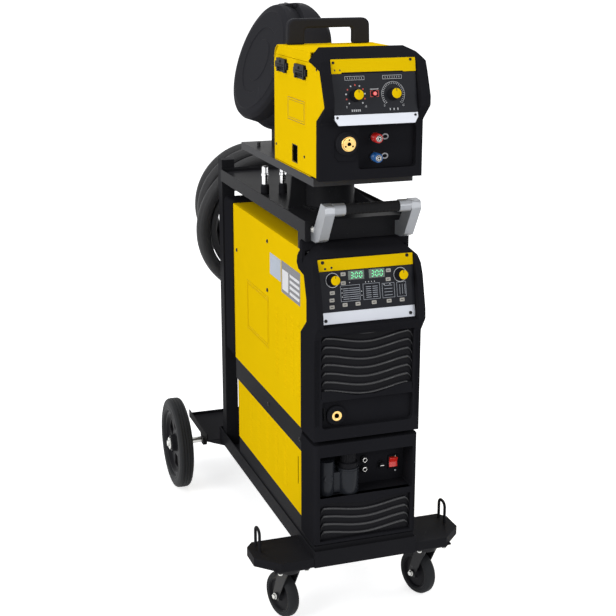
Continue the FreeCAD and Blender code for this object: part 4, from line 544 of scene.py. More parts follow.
# Rear wheels: solid tyres with a ribbed tread on moulded hubs with six windows.
# The hub is the inner part of the node's own mesh, and the tyre is turned round it.
def part_of(name, node, keep, material):
    """A piece with those faces of a node whose middles pass the test, its loose triangles joined."""
    work = bmesh.new()
    work.from_mesh(nodes[node].data)
    wanted = keep(np.array([face.calc_center_median() for face in work.faces]))
    bmesh.ops.delete(work, geom=[f for f, w in zip(work.faces, wanted) if not w], context="FACES")
    bmesh.ops.remove_doubles(work, verts=work.verts, dist=0.00002)
    work.verts.index_update()
    points = [tuple(corner.co) for corner in work.verts]
    faces = [[corner.index for corner in face.verts] for face in work.faces]
    work.free()
    return mesh_piece(name, points, faces, node, material, 35)


REAR_X, REAR_Y, REAR_RADIUS, HUB_RADIUS = 276, 914, 150, 0.1125
tyre_edge = [(107, -16), (113, -23, 2), (119, -24, 1), (121, -22.6, 1), (124, -24, 1), (134, -24, 6), (146, -20, 7),
             (149.5, -14, 2), (149.5, -10.5, 0.6), (147.6, -10, 0.6), (147.6, -8, 0.6), (150, -7.5, 0.6),
             (150, -2, 0.6), (148, -1.5, 0.6)]
tyre_ring = rounded(tyre_edge + [(r, -a) + tuple(k) for r, a, *k in tyre_edge[::-1]] + [tyre_edge[0]], 3)
for side, sign in SIDES:
    wheel = "rear_wheel_" + side
    middle = at(REAR_X * sign, REAR_Y, REAR_RADIUS)
    lathe("rear_tyre_" + side, tyre_ring, middle, (1, 0, 0), 110, wheel, rubber, 50)
    hub = part_of("rear_hub_" + side, wheel,
                  lambda m: np.hypot(m[:, 1] - middle[1], m[:, 2] - middle[2]) < HUB_RADIUS, hub_black)
    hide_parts(wheel)

# Push handle: two cast aluminium arms, bolted to the deck, and a black grip between them.
# The grip is turned, with shallow grooves all along it.
GRIP_HALF, GRIP_RADIUS, GRIP_PITCH = 71.8, 13.2, 9.6
cast = finish("cast_aluminium", (0.3, 0.31, 0.33), rough=0.36, grain=600, relief=0.1, drift=0.1, metal=0.6)
dress(cast, "handle_castings", edge=2.4)
moulded_soft = finish("grip_rubber", (0.013, 0.013, 0.014), rough=0.5, grain=700, relief=0.1, drift=0.2, shine=0.05)
grip_across = np.linspace(-GRIP_HALF, GRIP_HALF, 90)
grip_round = GRIP_RADIUS + 0.5 * (np.abs(np.sin(grip_across * math.pi / GRIP_PITCH)) > 0.25)
grip_profile = [(0, -GRIP_HALF)] + list(zip(grip_round, grip_across)) + [(0, GRIP_HALF)]
grip = lathe("handle_grip_sleeve", grip_profile, at(0, -113, 1133), (1, 0, 0), 40, "handle_grip", moulded_soft, 30)
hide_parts("handle_grip")
bolts("arm_bolts", [(at(127 * s, -36, 1070), (s, 0, 0)) for s in (-1, 1)], 6.0, 4.5, "handle_castings", zinc, 9.0)


# Power source covers: folded sheet with a yellow powder coat, pressed louvres and a pressed plain field on each
# side, held by black screws. The same shapes stand on both sides, mirrored.
def louvres(name, spots, wide, tall, proud, place, node, material):
    """Pressed hoods, each a grid whose height is the sine of the way along times a quarter wave down the hood."""
    along, down = np.meshgrid(np.linspace(0, 1, 7), np.linspace(0, 1, 5), indexing="ij")
    rise = proud * np.sin(math.pi * along) ** 0.45 * np.sin(down * math.pi / 2)
    rise = np.concatenate([rise, np.zeros((7, 1))], 1)
    along, down = (np.concatenate([grid, grid[:, -1:]], 1) for grid in (along, down))
    points, faces = [], []
    for k, (x, z) in enumerate(spots):
        points.append(place((x + (along - 0.5) * wide).ravel(), (z + tall * (0.5 - down)).ravel(), rise.ravel()))
        faces += grid_faces(7, 6, start=k * 42)
    piece = mesh_piece(name, np.concatenate(points), faces, node, material, 50)
    piece.data.flip_normals()


def outline_strips(x0, x1, z0, z1, thick):
    """The four strips of an empty rectangle."""
    return [box_outline(x0, x1, z0, z0 + thick), box_outline(x0, x1, z1 - thick, z1),
            box_outline(x0, x0 + thick, z0 + thick, z1 - thick), box_outline(x1 - thick, x1, z0 + thick, z1 - thick)]


def round_screws(name, spots, place, radius, node, material, out=0.0):
    """Pan heads with a hexagon recess: each is a turned dome with a six-sided well."""
    ring = circle(24)
    angle = np.linspace(0, 2 * math.pi, 24, endpoint=False)
    hexagon = 0.55 / np.max([np.abs(np.cos(angle + turn)) for turn in (0, -math.pi / 3, math.pi / 3)], 0)
    rings = [(1.0, -0.2), (1.0, 0.18), (0.93, 0.36), (0.72, 0.46),
             (hexagon * 0.9, 0.48), (hexagon * 0.86, 0.1), (hexagon * 0.02, 0.1)]
    points, faces = [], []
    for k, (x, z) in enumerate(spots):
        for share, high in rings:
            points.append(place(x + radius * share * ring[:, 0], z + radius * share * ring[:, 1], radius * high + out))
        faces += grid_faces(7, 24, False, True, k * 168)
        faces.append([k * 168 + 144 + j for j in range(24)])
    piece = mesh_piece(name, np.concatenate(points), faces, node, material, 35)
    piece.data.flip_normals()
    return piece


COVER = 143
yellow = finish("powder_yellow", (0.95, 0.62, 0.003), rough=0.34, grain=800, relief=0.05, drift=0.03, shine=0.0)
dress(yellow, "power_cover", "cooler_cover", edge=0.6)
dress(powder_black, "base_pans", edge=0.6)
screw_black = finish("black_screws", (0.012, 0.012, 0.013), rough=0.35, grain=900, relief=0.02, drift=0.1, shine=0.15)
# A darker amber for thin lines along the pressings: painted shade, not a colour of the coat.
yellow_shade = finish("painted_groove_shade", (0.42, 0.25, 0.003), rough=0.4, grain=800, relief=0.05, drift=0.05, shine=0.04)
columns = [(32, 584, 802), (84, 584, 802), (142, 589, 796), (218, 589, 796)]
power_spots = [(y, low + 4.9 + k * (high - low) / 15) for y, low, high in columns for k in range(16)]
cooler_spots = [(y, 304.9 + k * 15) for y in (145, 229, 313, 397, 481) for k in range(10)]
screw_spots = [(611, 872), (298, 968), (301, 827), (301, 487), (17, 487)]
for (side, sign), wall_of in zip(SIDES, (left_of, right_of)):
    wall = wall_of(COVER * sign)
    for label, spots, wide in (("power", power_spots, 30), ("cooler", cooler_spots, 34)):
        louvres(f"{label}_louvres_{side}", [(y * sign, z) for y, z in spots], wide, 7.0, 2.0, wall, label + "_cover",
                yellow)
    front, back = sorted((292 * sign, 507 * sign))
    ribs = outline_strips(front, back, 656, 807, 3.4) + outline_strips(front + 9, back - 9, 665, 798, 2.2)
    plates("power_field_" + side, ribs, wall, -0.2, 0.9, "power_cover", yellow, 0.5)
    # Thin darker amber strips round the field's ribs: painted shade for the grooves of the pressing.
    grooves = [box_outline(*np.stack([rib.min(0) - 0.7, rib.max(0) + 0.7], 1).ravel()) for rib in ribs]
    plates(f"power_field_{side}_edge", grooves, wall, -0.2, 0.12, "power_cover", yellow_shade)
    screws = round_screws("case_screws_" + side, [(y * sign, z) for y, z in screw_spots], wall, 5.6, "case_screws",
                          screw_black)
    if side == "left":
        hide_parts("case_screws")

# Two plain sheets on the left cover: a pale blue-grey field, and beside it a dark one with a pale patch and rows.
# They are thin plates with rounded corners.
sticker = finish("sticker_grey", (0.32, 0.38, 0.48), rough=0.25, grain=300, relief=0.005, drift=0.3, blotch=9.0)
sticker_dark = finish("sticker_dark", (0.035, 0.035, 0.05), rough=0.25, grain=300, relief=0.005, drift=0.2)
sticker_pale = finish("sticker_pale", (0.7, 0.7, 0.72), rough=0.3, grain=300, relief=0.005, drift=0.05)
sticker_rows = [box_outline(-100, -20, 866 + k * 16, 874 + k * 16) for k in range(4)]
for name, shapes, low, high, material in (
        ("sticker_field", [box_outline(-276, -178, 881, 942, 3)], 0.0, 0.25, sticker),
        ("sticker_plate", [box_outline(-172, -14, 856, 944, 3)], 0.0, 0.25, sticker_dark),
        ("sticker_rows", sticker_rows + [box_outline(-164, -112, 866, 922, 2)], 0.25, 0.4, sticker_pale)):
    plates(name, shapes, left_of(-COVER), low, high, "power_cover", material)

# Front of the power source: a moulded black fascia with a hood, a leaning control face and a wavy grille.
# The control film has two display windows that show plain digits.
moulded_face = finish("moulded_face", (0.0165, 0.0165, 0.0195), rough=0.38, grain=1400, relief=0.04, drift=0.15,
                      shine=0.0)
dress(moulded_face, "power_fascia", "cooler_fascia", "rear_panels", edge=1.6)
panel_film = finish("panel_film", (0.02, 0.021, 0.026), rough=0.25, grain=300, relief=0.01, drift=0.1, shine=0.05)
dress(panel_film, "power_panel", edge=0.3)
white_ink = finish("white_ink", (0.62, 0.63, 0.65), rough=0.45, grain=300, relief=0.002, drift=0.05)
grey_ink = finish("grey_ink", (0.3, 0.32, 0.36), rough=0.45, grain=300, relief=0.002, drift=0.1)


def leaning(top_y, top_z, low_y, low_z):
    """Places shapes on a leaning face by their height, across being x and up being z, and the way it faces."""
    slope = (top_y - low_y) / (top_z - low_z)
    out = np.array([0, -1, slope]) / math.hypot(1, slope)
    return facing(at(0, top_y - top_z * slope, 0), (1, 0, 0), (0, slope, 1), out), out


POWER_FACE, POWER_OUT = leaning(-76, 1002, -111, 838)
STROKES = {0: "abcdef", 1: "bc", 3: "abgcd"}


def digit_strokes(value, x, z, wide, tall, thick):
    """A seven-stroke digit: the strokes that the digit lights, each a long hexagon, leaning a little."""
    half = tall / 2
    ends = {"a": (0, tall, wide, tall), "b": (wide, half, wide, tall), "c": (wide, 0, wide, half),
            "d": (0, 0, wide, 0), "e": (0, 0, 0, half), "f": (0, half, 0, tall), "g": (0, half, wide, half)}
    strokes = []
    for letter in STROKES[value]:
        x0, z0, x1, z1 = ends[letter]
        way = np.array([x1 - x0, z1 - z0], float)
        way *= thick / np.linalg.norm(way)
        side = np.array([-way[1], way[0]]) / 2
        a, b = np.array([x0, z0]) + way * 0.35, np.array([x1, z1]) - way * 0.35
        shape = np.array([a, a + way / 2 - side, b - way / 2 - side, b, b - way / 2 + side, a + way / 2 + side])
        shape[:, 0] += shape[:, 1] * 0.1
        strokes.append(shape + (x, z))
    return strokes


def plain(name, sockets):
    """A material of one shader with constant values."""
    material, tree, surface = tree_of(name)
    tree.links.new(add(tree, "BsdfPrincipled", sockets).outputs[0], surface)
    return material


glass_dark = plain("display_window", {"Base Color": (0.01, 0.05, 0.025, 1), "Roughness": 0.12})
digits_green = plain("display_digits", {
    "Base Color": (0.1, 0.6, 0.25, 1), "Emission Color": (0.2, 0.9, 0.4, 1), "Emission Strength": 0.7,
    "Roughness": 0.4})
plates("display_windows", [box_outline(x0, x1, 945.4, 967.6, 1) for x0, x1 in ((-49.6, -6.4), (6.4, 49.6))],
       POWER_FACE, 0.6, 1.35, "power_panel", glass_dark)
strokes = []
for left in (-43.5, 12.5):
    for k, value in enumerate((3, 0, 0)):
        strokes += digit_strokes(value, left + k * 11.8, 949.6, 6.8, 13.6, 2.3)
plates("display_digits", strokes, POWER_FACE, 1.35, 1.5, "power_panel", digits_green)

# Printed frames, key fields and marks of the control film, and a ring round each knob.
# They are thin prints, one piece for each ink.
KNOB_X, KNOB_Z = 92, 948
key_pale = finish("key_print", (0.42, 0.4, 0.36), rough=0.4, grain=300, relief=0.002, drift=0.1)
keys = [(-63, 961), (60, 961), (58, 939), (-64, 939)] + [(x, 885) for x in (-63, -28, 16, 57, 93)]
keys += [(-95, 917), (-97, 899), (-98, 882)]
key_fields = [box_outline(x - 6.5, x + 6.5, z - 4.5, z + 4.5, 1.5, 3) for x, z in keys]
key_marks = [box_outline(x - 3.5, x + 3.5, z - 0.8, z + 0.8) for x, z in keys]
frames = [strip for x0, x1, top in ((-73, -20, 933), (-12, 34, 933), (40, 74, 930), (80, 106, 930))
          for strip in outline_strips(x0, x1, 893, top, 1.0)]
for pair in (((-66, -48), (-52, -22)), ((-4, 10), (14, 28))):
    frames += [box_outline(*pair[k % 2], 898 + 5.2 * (k // 2), 899.6 + 5.2 * (k // 2)) for k in range(12)]
frames += [box_outline(46, 68, 899 + 8 * k, 900.4 + 8 * k) for k in range(4)]
frames += [box_outline(88 + 7 * k, 89.2 + 7 * k, 899, 924) for k in range(3)]
lights = [disc(x, z, 1.3, 12) for x, z in [(-69, 905), (-69, 915), (-69, 925), (-16, 905), (-16, 915), (-47, 939),
                                           (-4, 937), (4, 937), (12, 937), (20, 937), (46, 927), (62, 927)]]
knob_rings = []
for x in (-KNOB_X, KNOB_X):
    near, far = disc(x, KNOB_Z, 17.0, 48), disc(x, KNOB_Z, 18.4, 48)
    knob_rings += [np.array([near[k - 1], near[k], far[k], far[k - 1]]) for k in range(48)]
for name, shapes, low, high, ink in (
        ("key_fields", key_fields, 1.5, 1.75, key_pale), ("key_marks", key_marks, 1.75, 1.85, panel_film),
        ("film_frames", frames, 1.5, 1.65, grey_ink), ("film_lights", lights, 1.5, 1.8, white_ink),
        ("knob_rings", knob_rings, 1.5, 1.65, white_ink)):
    plates(name, shapes, POWER_FACE, low, high, "power_panel", ink)

# Yellow header strip and satin metal strip across the control face, held by small black screws.
# Two dots are printed at the header's left end.
yellow_print = finish("printed_yellow", (0.95, 0.63, 0.003), rough=0.3, grain=300, relief=0.01, drift=0.02, shine=0.0)
silver_print = finish("satin_silver", (0.53, 0.55, 0.6), rough=0.36, grain=300, relief=0.01, drift=0.04, metal=0.35)
header = plates("power_header", [box_outline(-129, 129, 971, 1000.5, 2)], POWER_FACE, 0, 2.0, "power_strips",
                yellow_print, 0.5)
plates("power_name_strip", [box_outline(-127, 127, 840, 869.5, 2)], POWER_FACE, 0, 1.5, "power_strips", silver_print,
       0.4)
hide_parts("power_strips")
round_screws("header_screws", [(-116, 993), (113, 995)], POWER_FACE, 4.4, "power_strips", screw_black, 2.0)
round_screws("strip_screws", [(-117, 849), (114, 850)], POWER_FACE, 4.4, "power_strips", screw_black, 1.5)
header_dots = [disc(x, z, 3.0, 16) for x, z in ((-110, 977), (-93, 979))]
plates("header_dots", header_dots, POWER_FACE, 2.0, 2.3, "power_strips", screw_black)


def knob(node, x, z, face, out, radius=15.0, high=25.0):
    """A control knob: a fluted black skirt and grip, and a yellow cap with a pointer line. The grip's rim folds back
    into the cap, which turns the reckoned normals inward, so they are turned again."""
    centre = face(x, z, 0)
    across = np.array([1.0, 0, 0])
    skirt = [(0, 2.2), (radius, 2.2), (radius, 5.2, 1.2), (radius - 2, 8, 1.5), (radius - 2.4, high - 1, 0.8),
             (radius - 2.9, high, 0.3), (radius - 2.9, high - 0.8), (0, high - 0.8)]
    base = lathe(node + "_grip", rounded(skirt, 4), centre, out, 96, node, moulded_face, 35, across, lambda line, turn:
                 ((line[:, 1] > 8.5) & (line[:, 0] > radius - 4))[:, None] * 0.3 * (1 + np.cos(turn * 24)))
    cap = [(0, high - 1.0), (radius - 3.1, high - 1.0), (radius - 3.1, high + 0.6, 0.7), (0, high + 1.0)]
    lathe(node + "_cap", rounded(cap, 4), centre, out, 48, node, yellow_print, 35)
    plates(node + "_pointer", [box_outline(-0.6, 0.6, 4.5, radius - 3.6)],
           facing(centre, across, np.cross(out, across), out), high + 0.55, high + 1.1, node, screw_black)
    base.data.flip_normals()
    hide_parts(node)


knob("power_knob_left", -KNOB_X, KNOB_Z, POWER_FACE, POWER_OUT)
knob("power_knob_right", KNOB_X, KNOB_Z, POWER_FACE, POWER_OUT)


# Wavy grilles: each blade is a hooked section carried along a wave that dips in the middle, its ends curled down
# into the frame; a wavy sill closes the grille below.
def wave(x, half, dip):
    """How far the wave lies below its ends: half the dip times one less the cosine of the way across."""
    return dip * 0.5 * (1 - np.cos(2 * math.pi * (x + half) / (2 * half)))


blade_section = np.array([(0, 3.5), (4, 3.0), (9, 1.4), (11.6, -0.6), (12.2, -2.8), (11.4, -4.6), (10.2, -4.4),
                          (9.6, -2.6), (7.5, -0.6), (4, 0.4), (0, 0.8)])
BLADE_BACK, BLADE_END = -88, 16


def blades(name, half, tops, dip, material):
    """All the blades of one grille. Points are the section moved down by the wave and by the curl at both ends."""
    x = np.concatenate([np.linspace(-half, -half + BLADE_END, 9)[:-1],
                        np.linspace(-half + BLADE_END, half - BLADE_END, 37),
                        np.linspace(half - BLADE_END, half, 9)[1:]])
    curl = 15 * (np.clip(1 - (half - np.abs(x)) / 14, 0, 1) ** 2.2)
    points, faces = [], []
    count = len(blade_section)
    for top in tops:
        start = len(points) * len(x) * count
        z = top - wave(x, half, dip) - curl
        line = np.stack([x, np.full(len(x), BLADE_BACK), z], -1)[:, None]
        block = line + blade_section @ np.array([(0, -1, 0), (0, 0, 1)])
        points.append(block.reshape(-1, 3) / 1000 - (0, MIDDLE, 0))
        faces += grid_faces(len(x), count, False, True, start)
        faces += [[start + j for j in range(count)], [start + (len(x) - 1) * count + j for j in range(count)][::-1]]
    return mesh_piece(name, np.concatenate(points), faces, "louvre_grilles", material, 40)


grille_black = finish("grille_black", (0.016, 0.016, 0.019), rough=0.2, grain=1200, relief=0.02, drift=0.15,
                      shine=0.35)
power_blades = blades("power_grille", 125.5, [826 - 23.4 * k for k in range(8)], 18, grille_black)
blades("cooler_grille", 127, [333 - 22.6 * k for k in range(4)], 15, grille_black)
plates("power_grille_plate", [box_outline(-126.4, 126.4, 640.6, 827.4)], front_of(-91), 0, 3, "louvre_grilles",
       hub_black)
plates("cooler_grille_plate", [box_outline(-128, 128, 239, 344)], front_of(-91), 0, 3, "louvre_grilles", hub_black)
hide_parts("louvre_grilles")


def wavy_band(name, half, flat, ends, dip, deep, y_back, node):
    """A band with one flat and one wavy edge."""
    x = np.linspace(-half, half, 61)
    edge = np.stack([x, ends - wave(x, half, dip)], -1)
    outline = np.concatenate([[(-half, flat), (half, flat)], edge[::-1]])
    plates(name, [outline], front_of(y_back), 0, deep, node, moulded_face, 1.4)


wavy_band("power_sill", 126, 630, 660, 22, 17.5, -87, "power_fascia")
wavy_band("cooler_brow", 128, 362, 348, 12, 17.0, -87.5, "cooler_fascia")
cheek_ribs = [box_outline(x, x + 1.6, 566, 820, 0.7, 3) for x in (-144.2, -141, -137.8, -134.6)]
cheek_ribs += [rib * (-1, 1) for rib in cheek_ribs]
plates("cheek_ribs", cheek_ribs, front_of(-103.8), 0, 1.4, "power_fascia", moulded_face, 0.4)

# Current socket: a turned brass insert in a ribbed insulating collar, with a thread guard.
# A short strap beside it holds the guard.
FRONT = (0, -1, 0)
SOCKET = at(-82, -88, 588)
brass = finish("turned_brass", (0.83, 0.56, 0.2), rough=0.2, grain=700, relief=0.02, drift=0.08, metal=1.0)
# Near-black for openings: painted shade in the socket's well, the torch socket's holes and the feeder's viewing slot.
opening_shade = finish("painted_opening_shade", (0.003, 0.003, 0.003), rough=0.7, grain=300, relief=0.01, drift=0.1, shine=0.0)
weld_collar = [(13.6, -5), (14.4, -5), (26, 0), (26, 8, 2), (19, 10, 1.5), (17, 14, 1), (13.6, 13, 0.6), (13.6, -5)]
weld_insert = [(6.5, -6), (13.5, -6), (13.5, 13, 1), (9.4, 13.4, 0.6), (6.5, 11.6), (6.5, -6)]
weld_well = [(0, -5.8), (6.6, -5.8), (6.6, 8), (6.45, 8), (6.45, -5.6), (0, -5.6)]
collar = lathe("weld_collar", rounded(weld_collar), SOCKET, FRONT, 72, "weld_socket", moulded_face, 30)
lathe("weld_insert", rounded(weld_insert), SOCKET, FRONT, 56, "weld_socket", brass, 30)
# The well behind the insert is a near-black lining: painted shade for the depth of the socket.
lathe("weld_well", weld_well, SOCKET, FRONT, 40, "weld_socket", opening_shade, 30)
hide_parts("weld_socket")
tether_line = [at(-115 + 0.2 * k, -92 - 3 * math.sin(k / 10 * math.pi), 610 - 3.4 * k) for k in range(11)]
tube("weld_cap_tether", tether_line, 0.0022, 12, "weld_socket", moulded_soft)

# Cooler bay: a tank with a lobe beside the filler neck and its cap, two coolant ports with tubes, a fuse holder and
# the lit mains switch.
NECK_X, NECK_Y = -40, -71
BAY_BACK = -40
tank_grey = finish("tank_moulding", (0.021, 0.023, 0.028), rough=0.24, grain=900, relief=0.03, drift=0.2, shine=0.12)
dress(tank_grey, "cooler_tank", edge=1.6)
nickel = finish("nickel_plate", (0.7, 0.69, 0.67), rough=0.18, grain=600, relief=0.01, drift=0.05, metal=1.0)
cap_profile = [(0, 38), (17.6, 38), (17.6, 0.2), (26.8, 0.2), (27, 0.8), (27, 14.4, 2.4), (21.4, 15.4, 1),
               (21, 41.4, 2.8), (14, 42.6, 1), (13, 41.6), (0, 42)]
cap = lathe("filler_cap_fluted", rounded(cap_profile, 4), at(NECK_X, NECK_Y, 432.4), (0, 0, 1), 120, "filler_cap",
            hub_black, 35, (1.0, 0, 0), lambda line, turn:
            ((line[:, 0] > 20) & (line[:, 1] > 16))[:, None] * 1.1 * np.clip(np.cos(turn * 20) * 1.6, 0, 1))
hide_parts("filler_cap")
neck_band = [(29.1, -4), (30.4, -4, 0.8), (30.4, 0, 0.8), (29.1, 0), (29.1, -4)]
lathe("neck_band", rounded(neck_band), at(NECK_X, NECK_Y, 427), (0, 0, 1), 72, "cooler_tank", tank_grey, 30)
lobe_cap = [(0, -7), (9, -7), (12.5, -3, 1.5), (12.5, 0, 1), (10.5, 0.8, 0.6), (6, -1.5, 2), (0, -2.2)]
lathe("tank_lobe_cap", rounded(lobe_cap), at(-101, -92.3, 410), FRONT, 48, "cooler_tank", tank_grey)
port_flange = [(0, 0), (9, 0), (9, 4, 1), (7.4, 5), (0, 5)]
port_tube = [(4.6, 4), (6.6, 4), (6.6, 9), (7.4, 9.4, 0.4), (7.4, 14.6, 1), (5.4, 16, 0.6), (4.6, 15.4), (4.6, 4)]
for name, z in (("port_top", 433), ("port_low", 406)):
    for part, profile, material in (("flange", port_flange, hub_black), ("tube", port_tube, nickel)):
        lathe(f"{name}_{part}", rounded(profile), at(16, BAY_BACK, z), FRONT, 48, "cooler_fittings", material, 30)
fuse_profile = [(0, 0), (9.5, 0), (9.5, 3, 1), (7.6, 4), (7.6, 14, 1.5), (1.6, 16), (1.6, 15), (0, 15)]
fuse = lathe("fuse_holder", rounded(fuse_profile), at(66, BAY_BACK, 411), FRONT, 40, "cooler_fittings", hub_black, 30)
plates("fuse_slot", [box_outline(61, 71, 410.2, 411.8)], front_of(-54), 0, 1.9, "cooler_fittings", nickel)
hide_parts("cooler_fittings")
lens_red = plain("lit_red_lens", {
    "Base Color": (0.8, 0.02, 0.015, 1), "Roughness": 0.22, "Emission Color": (1.0, 0.06, 0.04, 1),
    "Emission Strength": 0.1, "Coat Weight": 0.5})
dress(lens_red, "rocker_switch", edge=1.2)
plates("bay_marks", [disc(109, 453, 2.6, 20), disc(110, 386, 2.6, 20)], front_of(BAY_BACK), 0, 1.2, "cooler_fascia",
       white_ink)

# Inside the covers: heat sink, radiator, pump and fan, plain castings and mouldings behind the sheet.
# They keep the shapes of their nodes.
inner_metal = finish("inner_castings", (0.35, 0.36, 0.38), rough=0.4, grain=600, relief=0.05, drift=0.1, metal=0.6)
dress(inner_metal, "power_module", "cooler_radiator", "cooler_pump")
dress(hub_black, "cooling_fan", edge=0.6)

# Wire feeder case: folded steel in the same yellow powder coat, standing on a black folded tray. The door hangs at its
# lower edge. It has a raised plate, a smoked viewing slot and two black paddle latches in lugs.
DOOR = -131
LATCHES = (("front", 2, 1438), ("rear", 152, 1441))
tray_grey = finish("tray_coating", (0.05, 0.05, 0.054), rough=0.34, grain=700, relief=0.05, drift=0.15, shine=0.02)
dress(tray_grey, "feeder_tray", edge=0.6)
dress(yellow, "feeder_case", "feeder_door", edge=0.5)
# The viewing slot's pane is an opaque near-black plate: partly the smoked pane's own tint, partly painted shade for the
# dark inside of the feeder.
plates("door_pane", [box_outline(-109.6, -70.4, 1222.4, 1264.6, 2.6)], left_of(-129.7), -0.5, 0.3, "feeder_door",
       opening_shade, 0.2)
plates("door_pane_frame", outline_strips(-111.6, -68.4, 1220.4, 1266.6, 2.0), left_of(DOOR), -0.2, 0.7,
       "feeder_door", hub_black, 0.3)
# The raised plate's ribs are a darker amber: painted shade along the pressing.
rib_shapes = outline_strips(-146, -11, 1326, 1384, 2.2) + outline_strips(-139, -18, 1332, 1378, 1.4)
plates("door_plate_ribs", rib_shapes, left_of(DOOR - 0.2), -0.1, 0.7, "feeder_door", yellow_shade, 0.2)
lugs = [box_outline(a - start, b - start, low + 9, low + 26, 2.5) for _, start, low in LATCHES
        for a, b in ((-85, -75.4), (1.4, 11))]
plates("latch_lugs", lugs, left_of(DOOR), 0, 6.0, "feeder_door", hub_black, 1.2)
round_screws("door_screws", [(77, 1470), (-14, 1246), (-246, 1246)], left_of(DOOR), 3.6, "feeder_door", screw_black)
dress(hub_black, "door_latch_front", "door_latch_rear", edge=1.6)
for label, start, low in LATCHES:
    ribs = [box_outline(-(start + 62), -(start + 12), low + 6 + 6 * k, low + 8.4 + 6 * k, 1.0, 3) for k in range(3)]
    ribs.append(disc(-(start + 37), low + 27, 4.0))
    plates("latch_ribs_" + label, ribs, left_of(-138.3), -0.3, 1.3, "door_latch_" + label, moulded, 0.4)

# Feeder face: a moulded black hood and cheeks round a leaning panel: a yellow header, a dark film with two knobs and
# their scales, a lit red push button between them, and a satin silver strip below.
case_black = finish("case_black", (0.026, 0.026, 0.03), rough=0.34, grain=1400, relief=0.03, drift=0.12, shine=0.005)
dress(moulded_face, "feeder_fascia", edge=1.6)
handle_outline = rounded([(-114, 1508), (-112, 1574, 19), (112, 1574, 19), (114, 1508), (67, 1508), (67, 1550, 9),
                          (-67, 1550, 9), (-67, 1508)], 7)
handle = plates("feeder_handle_arch", [handle_outline], front_of(220), 0, 24, "feeder_handle", case_black, 5.0, 40)
handle.modifiers["edges"].segments = 4
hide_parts("feeder_handle")
FEEDER_FACE, FEEDER_OUT = leaning(-109, 1498, -144, 1340)
DIAL_LEFT, DIAL_RIGHT, DIAL_Z = -51, 46, 1411
header_shape = [(-109, 1462.5), (-84, 1462.5), (-82, 1465.5), (74, 1465.5), (76, 1463.5), (109, 1463.5), (109, 1494.5),
                (107.5, 1496), (-107.5, 1496), (-109, 1494.5)]
strip_shape = [(-99, 1342.4), (99, 1342.4), (108, 1356), (108, 1367), (-108, 1367), (-108, 1356)]
triangles = [[(x - 2.6, 1469), (x + 2.6, 1469), (x, 1473.6)] for x in (-100, -87)]
plates("feeder_header", [header_shape], FEEDER_FACE, 0, 2.0, "feeder_strips", yellow_print, 0.3)
film = plates("feeder_film", [box_outline(-108, 108, 1368, 1462, 2)], FEEDER_FACE, 0, 1.4, "feeder_strips", panel_film,
              0.2)
plates("feeder_strip", [strip_shape], FEEDER_FACE, 0, 1.8, "feeder_strips", silver_print, 0.3)
plates("feeder_header_edge", outline_strips(-110.2, 110.2, 1461.2, 1497.3, 1.1), FEEDER_FACE, -0.1, 1.2,
       "feeder_strips", hub_black, 0.2)
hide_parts("feeder_strips")
round_screws("header_screws", [(-103, 1488), (96, 1491)], FEEDER_FACE, 3.4, "feeder_strips", screw_black, 2.0)
round_screws("strip_screws", [(-101, 1361), (101, 1361)], FEEDER_FACE, 3.2, "feeder_strips", screw_black, 1.8)
plates("header_marks", triangles, FEEDER_FACE, 1.95, 2.12, "feeder_strips", screw_black)
knob("feeder_knob_left", DIAL_LEFT, DIAL_Z, FEEDER_FACE, FEEDER_OUT)
knob("feeder_knob_right", DIAL_RIGHT, DIAL_Z, FEEDER_FACE, FEEDER_OUT)
red_ink = finish("red_ink", (0.62, 0.05, 0.03), rough=0.45, grain=300, relief=0.002, drift=0.05)


def radial(x, z, near, far, wide, angle):
    """A thin bar that points away from a centre."""
    c, s = math.cos(angle), math.sin(angle)
    return np.array([(x + r * c - w * s, z + r * s + w * c) for r, w in
                     ((near, -wide), (far, -wide), (far, wide), (near, wide))])


sweep = np.radians(np.linspace(225, -45, 11))
dots = [disc(DIAL_LEFT + 24.5 * math.cos(a), DIAL_Z + 24.5 * math.sin(a), 1.9, 20) for a in sweep]
white_marks = dots[::2]
for near, far, wide, reach, steps in ((24.5, 28.5, 0.45, 135, 28), (29.6, 30.3, 1.9, 132, 36)):
    white_marks += [radial(DIAL_RIGHT, DIAL_Z, near, far, wide, a)
                    for a in np.radians(np.linspace(90 + reach, 90 - reach, steps))]
for x in (DIAL_LEFT, DIAL_RIGHT):
    for value, aside in ((0, -25.5), (1, 20.5), (0, 24.5)):
        white_marks += digit_strokes(value, x + aside, 1383, 2.2, 4.2, 0.7)
    white_marks += outline_strips(x - 25, x + 25, 1447, 1456, 0.7)
    white_marks += [radial(x + k, 1451.5, -2, 2, 0.45, math.pi / 2) for k in range(-18, 19, 6)]
white_marks += [box_outline(-13, 9, 1424, 1425.4)]
white_marks += [box_outline(x - 1.2, x + 1.2, 1374, 1379) for x in (-62, -57, -52, -47, -42, 36, 46, 56)]
red_marks = dots[1::2] + outline_strips(-13, 9, 1406.5, 1421.5, 1.2)
plates("feeder_marks_white", white_marks, FEEDER_FACE, 1.3, 1.52, "feeder_strips", white_ink)
plates("feeder_marks_red", red_marks, FEEDER_FACE, 1.3, 1.52, "feeder_strips", red_ink)
dress(lens_red, "feeder_button")
bezel = [(5.5, 1.2), (8.2, 1.2), (8.2, 2.6), (7.4, 3.2), (6.0, 3.2), (5.5, 2.8), (5.5, 1.2)]
lathe("button_bezel", bezel, FEEDER_FACE(-2, 1414, 0), FEEDER_OUT, 40, "feeder_strips", hub_black)
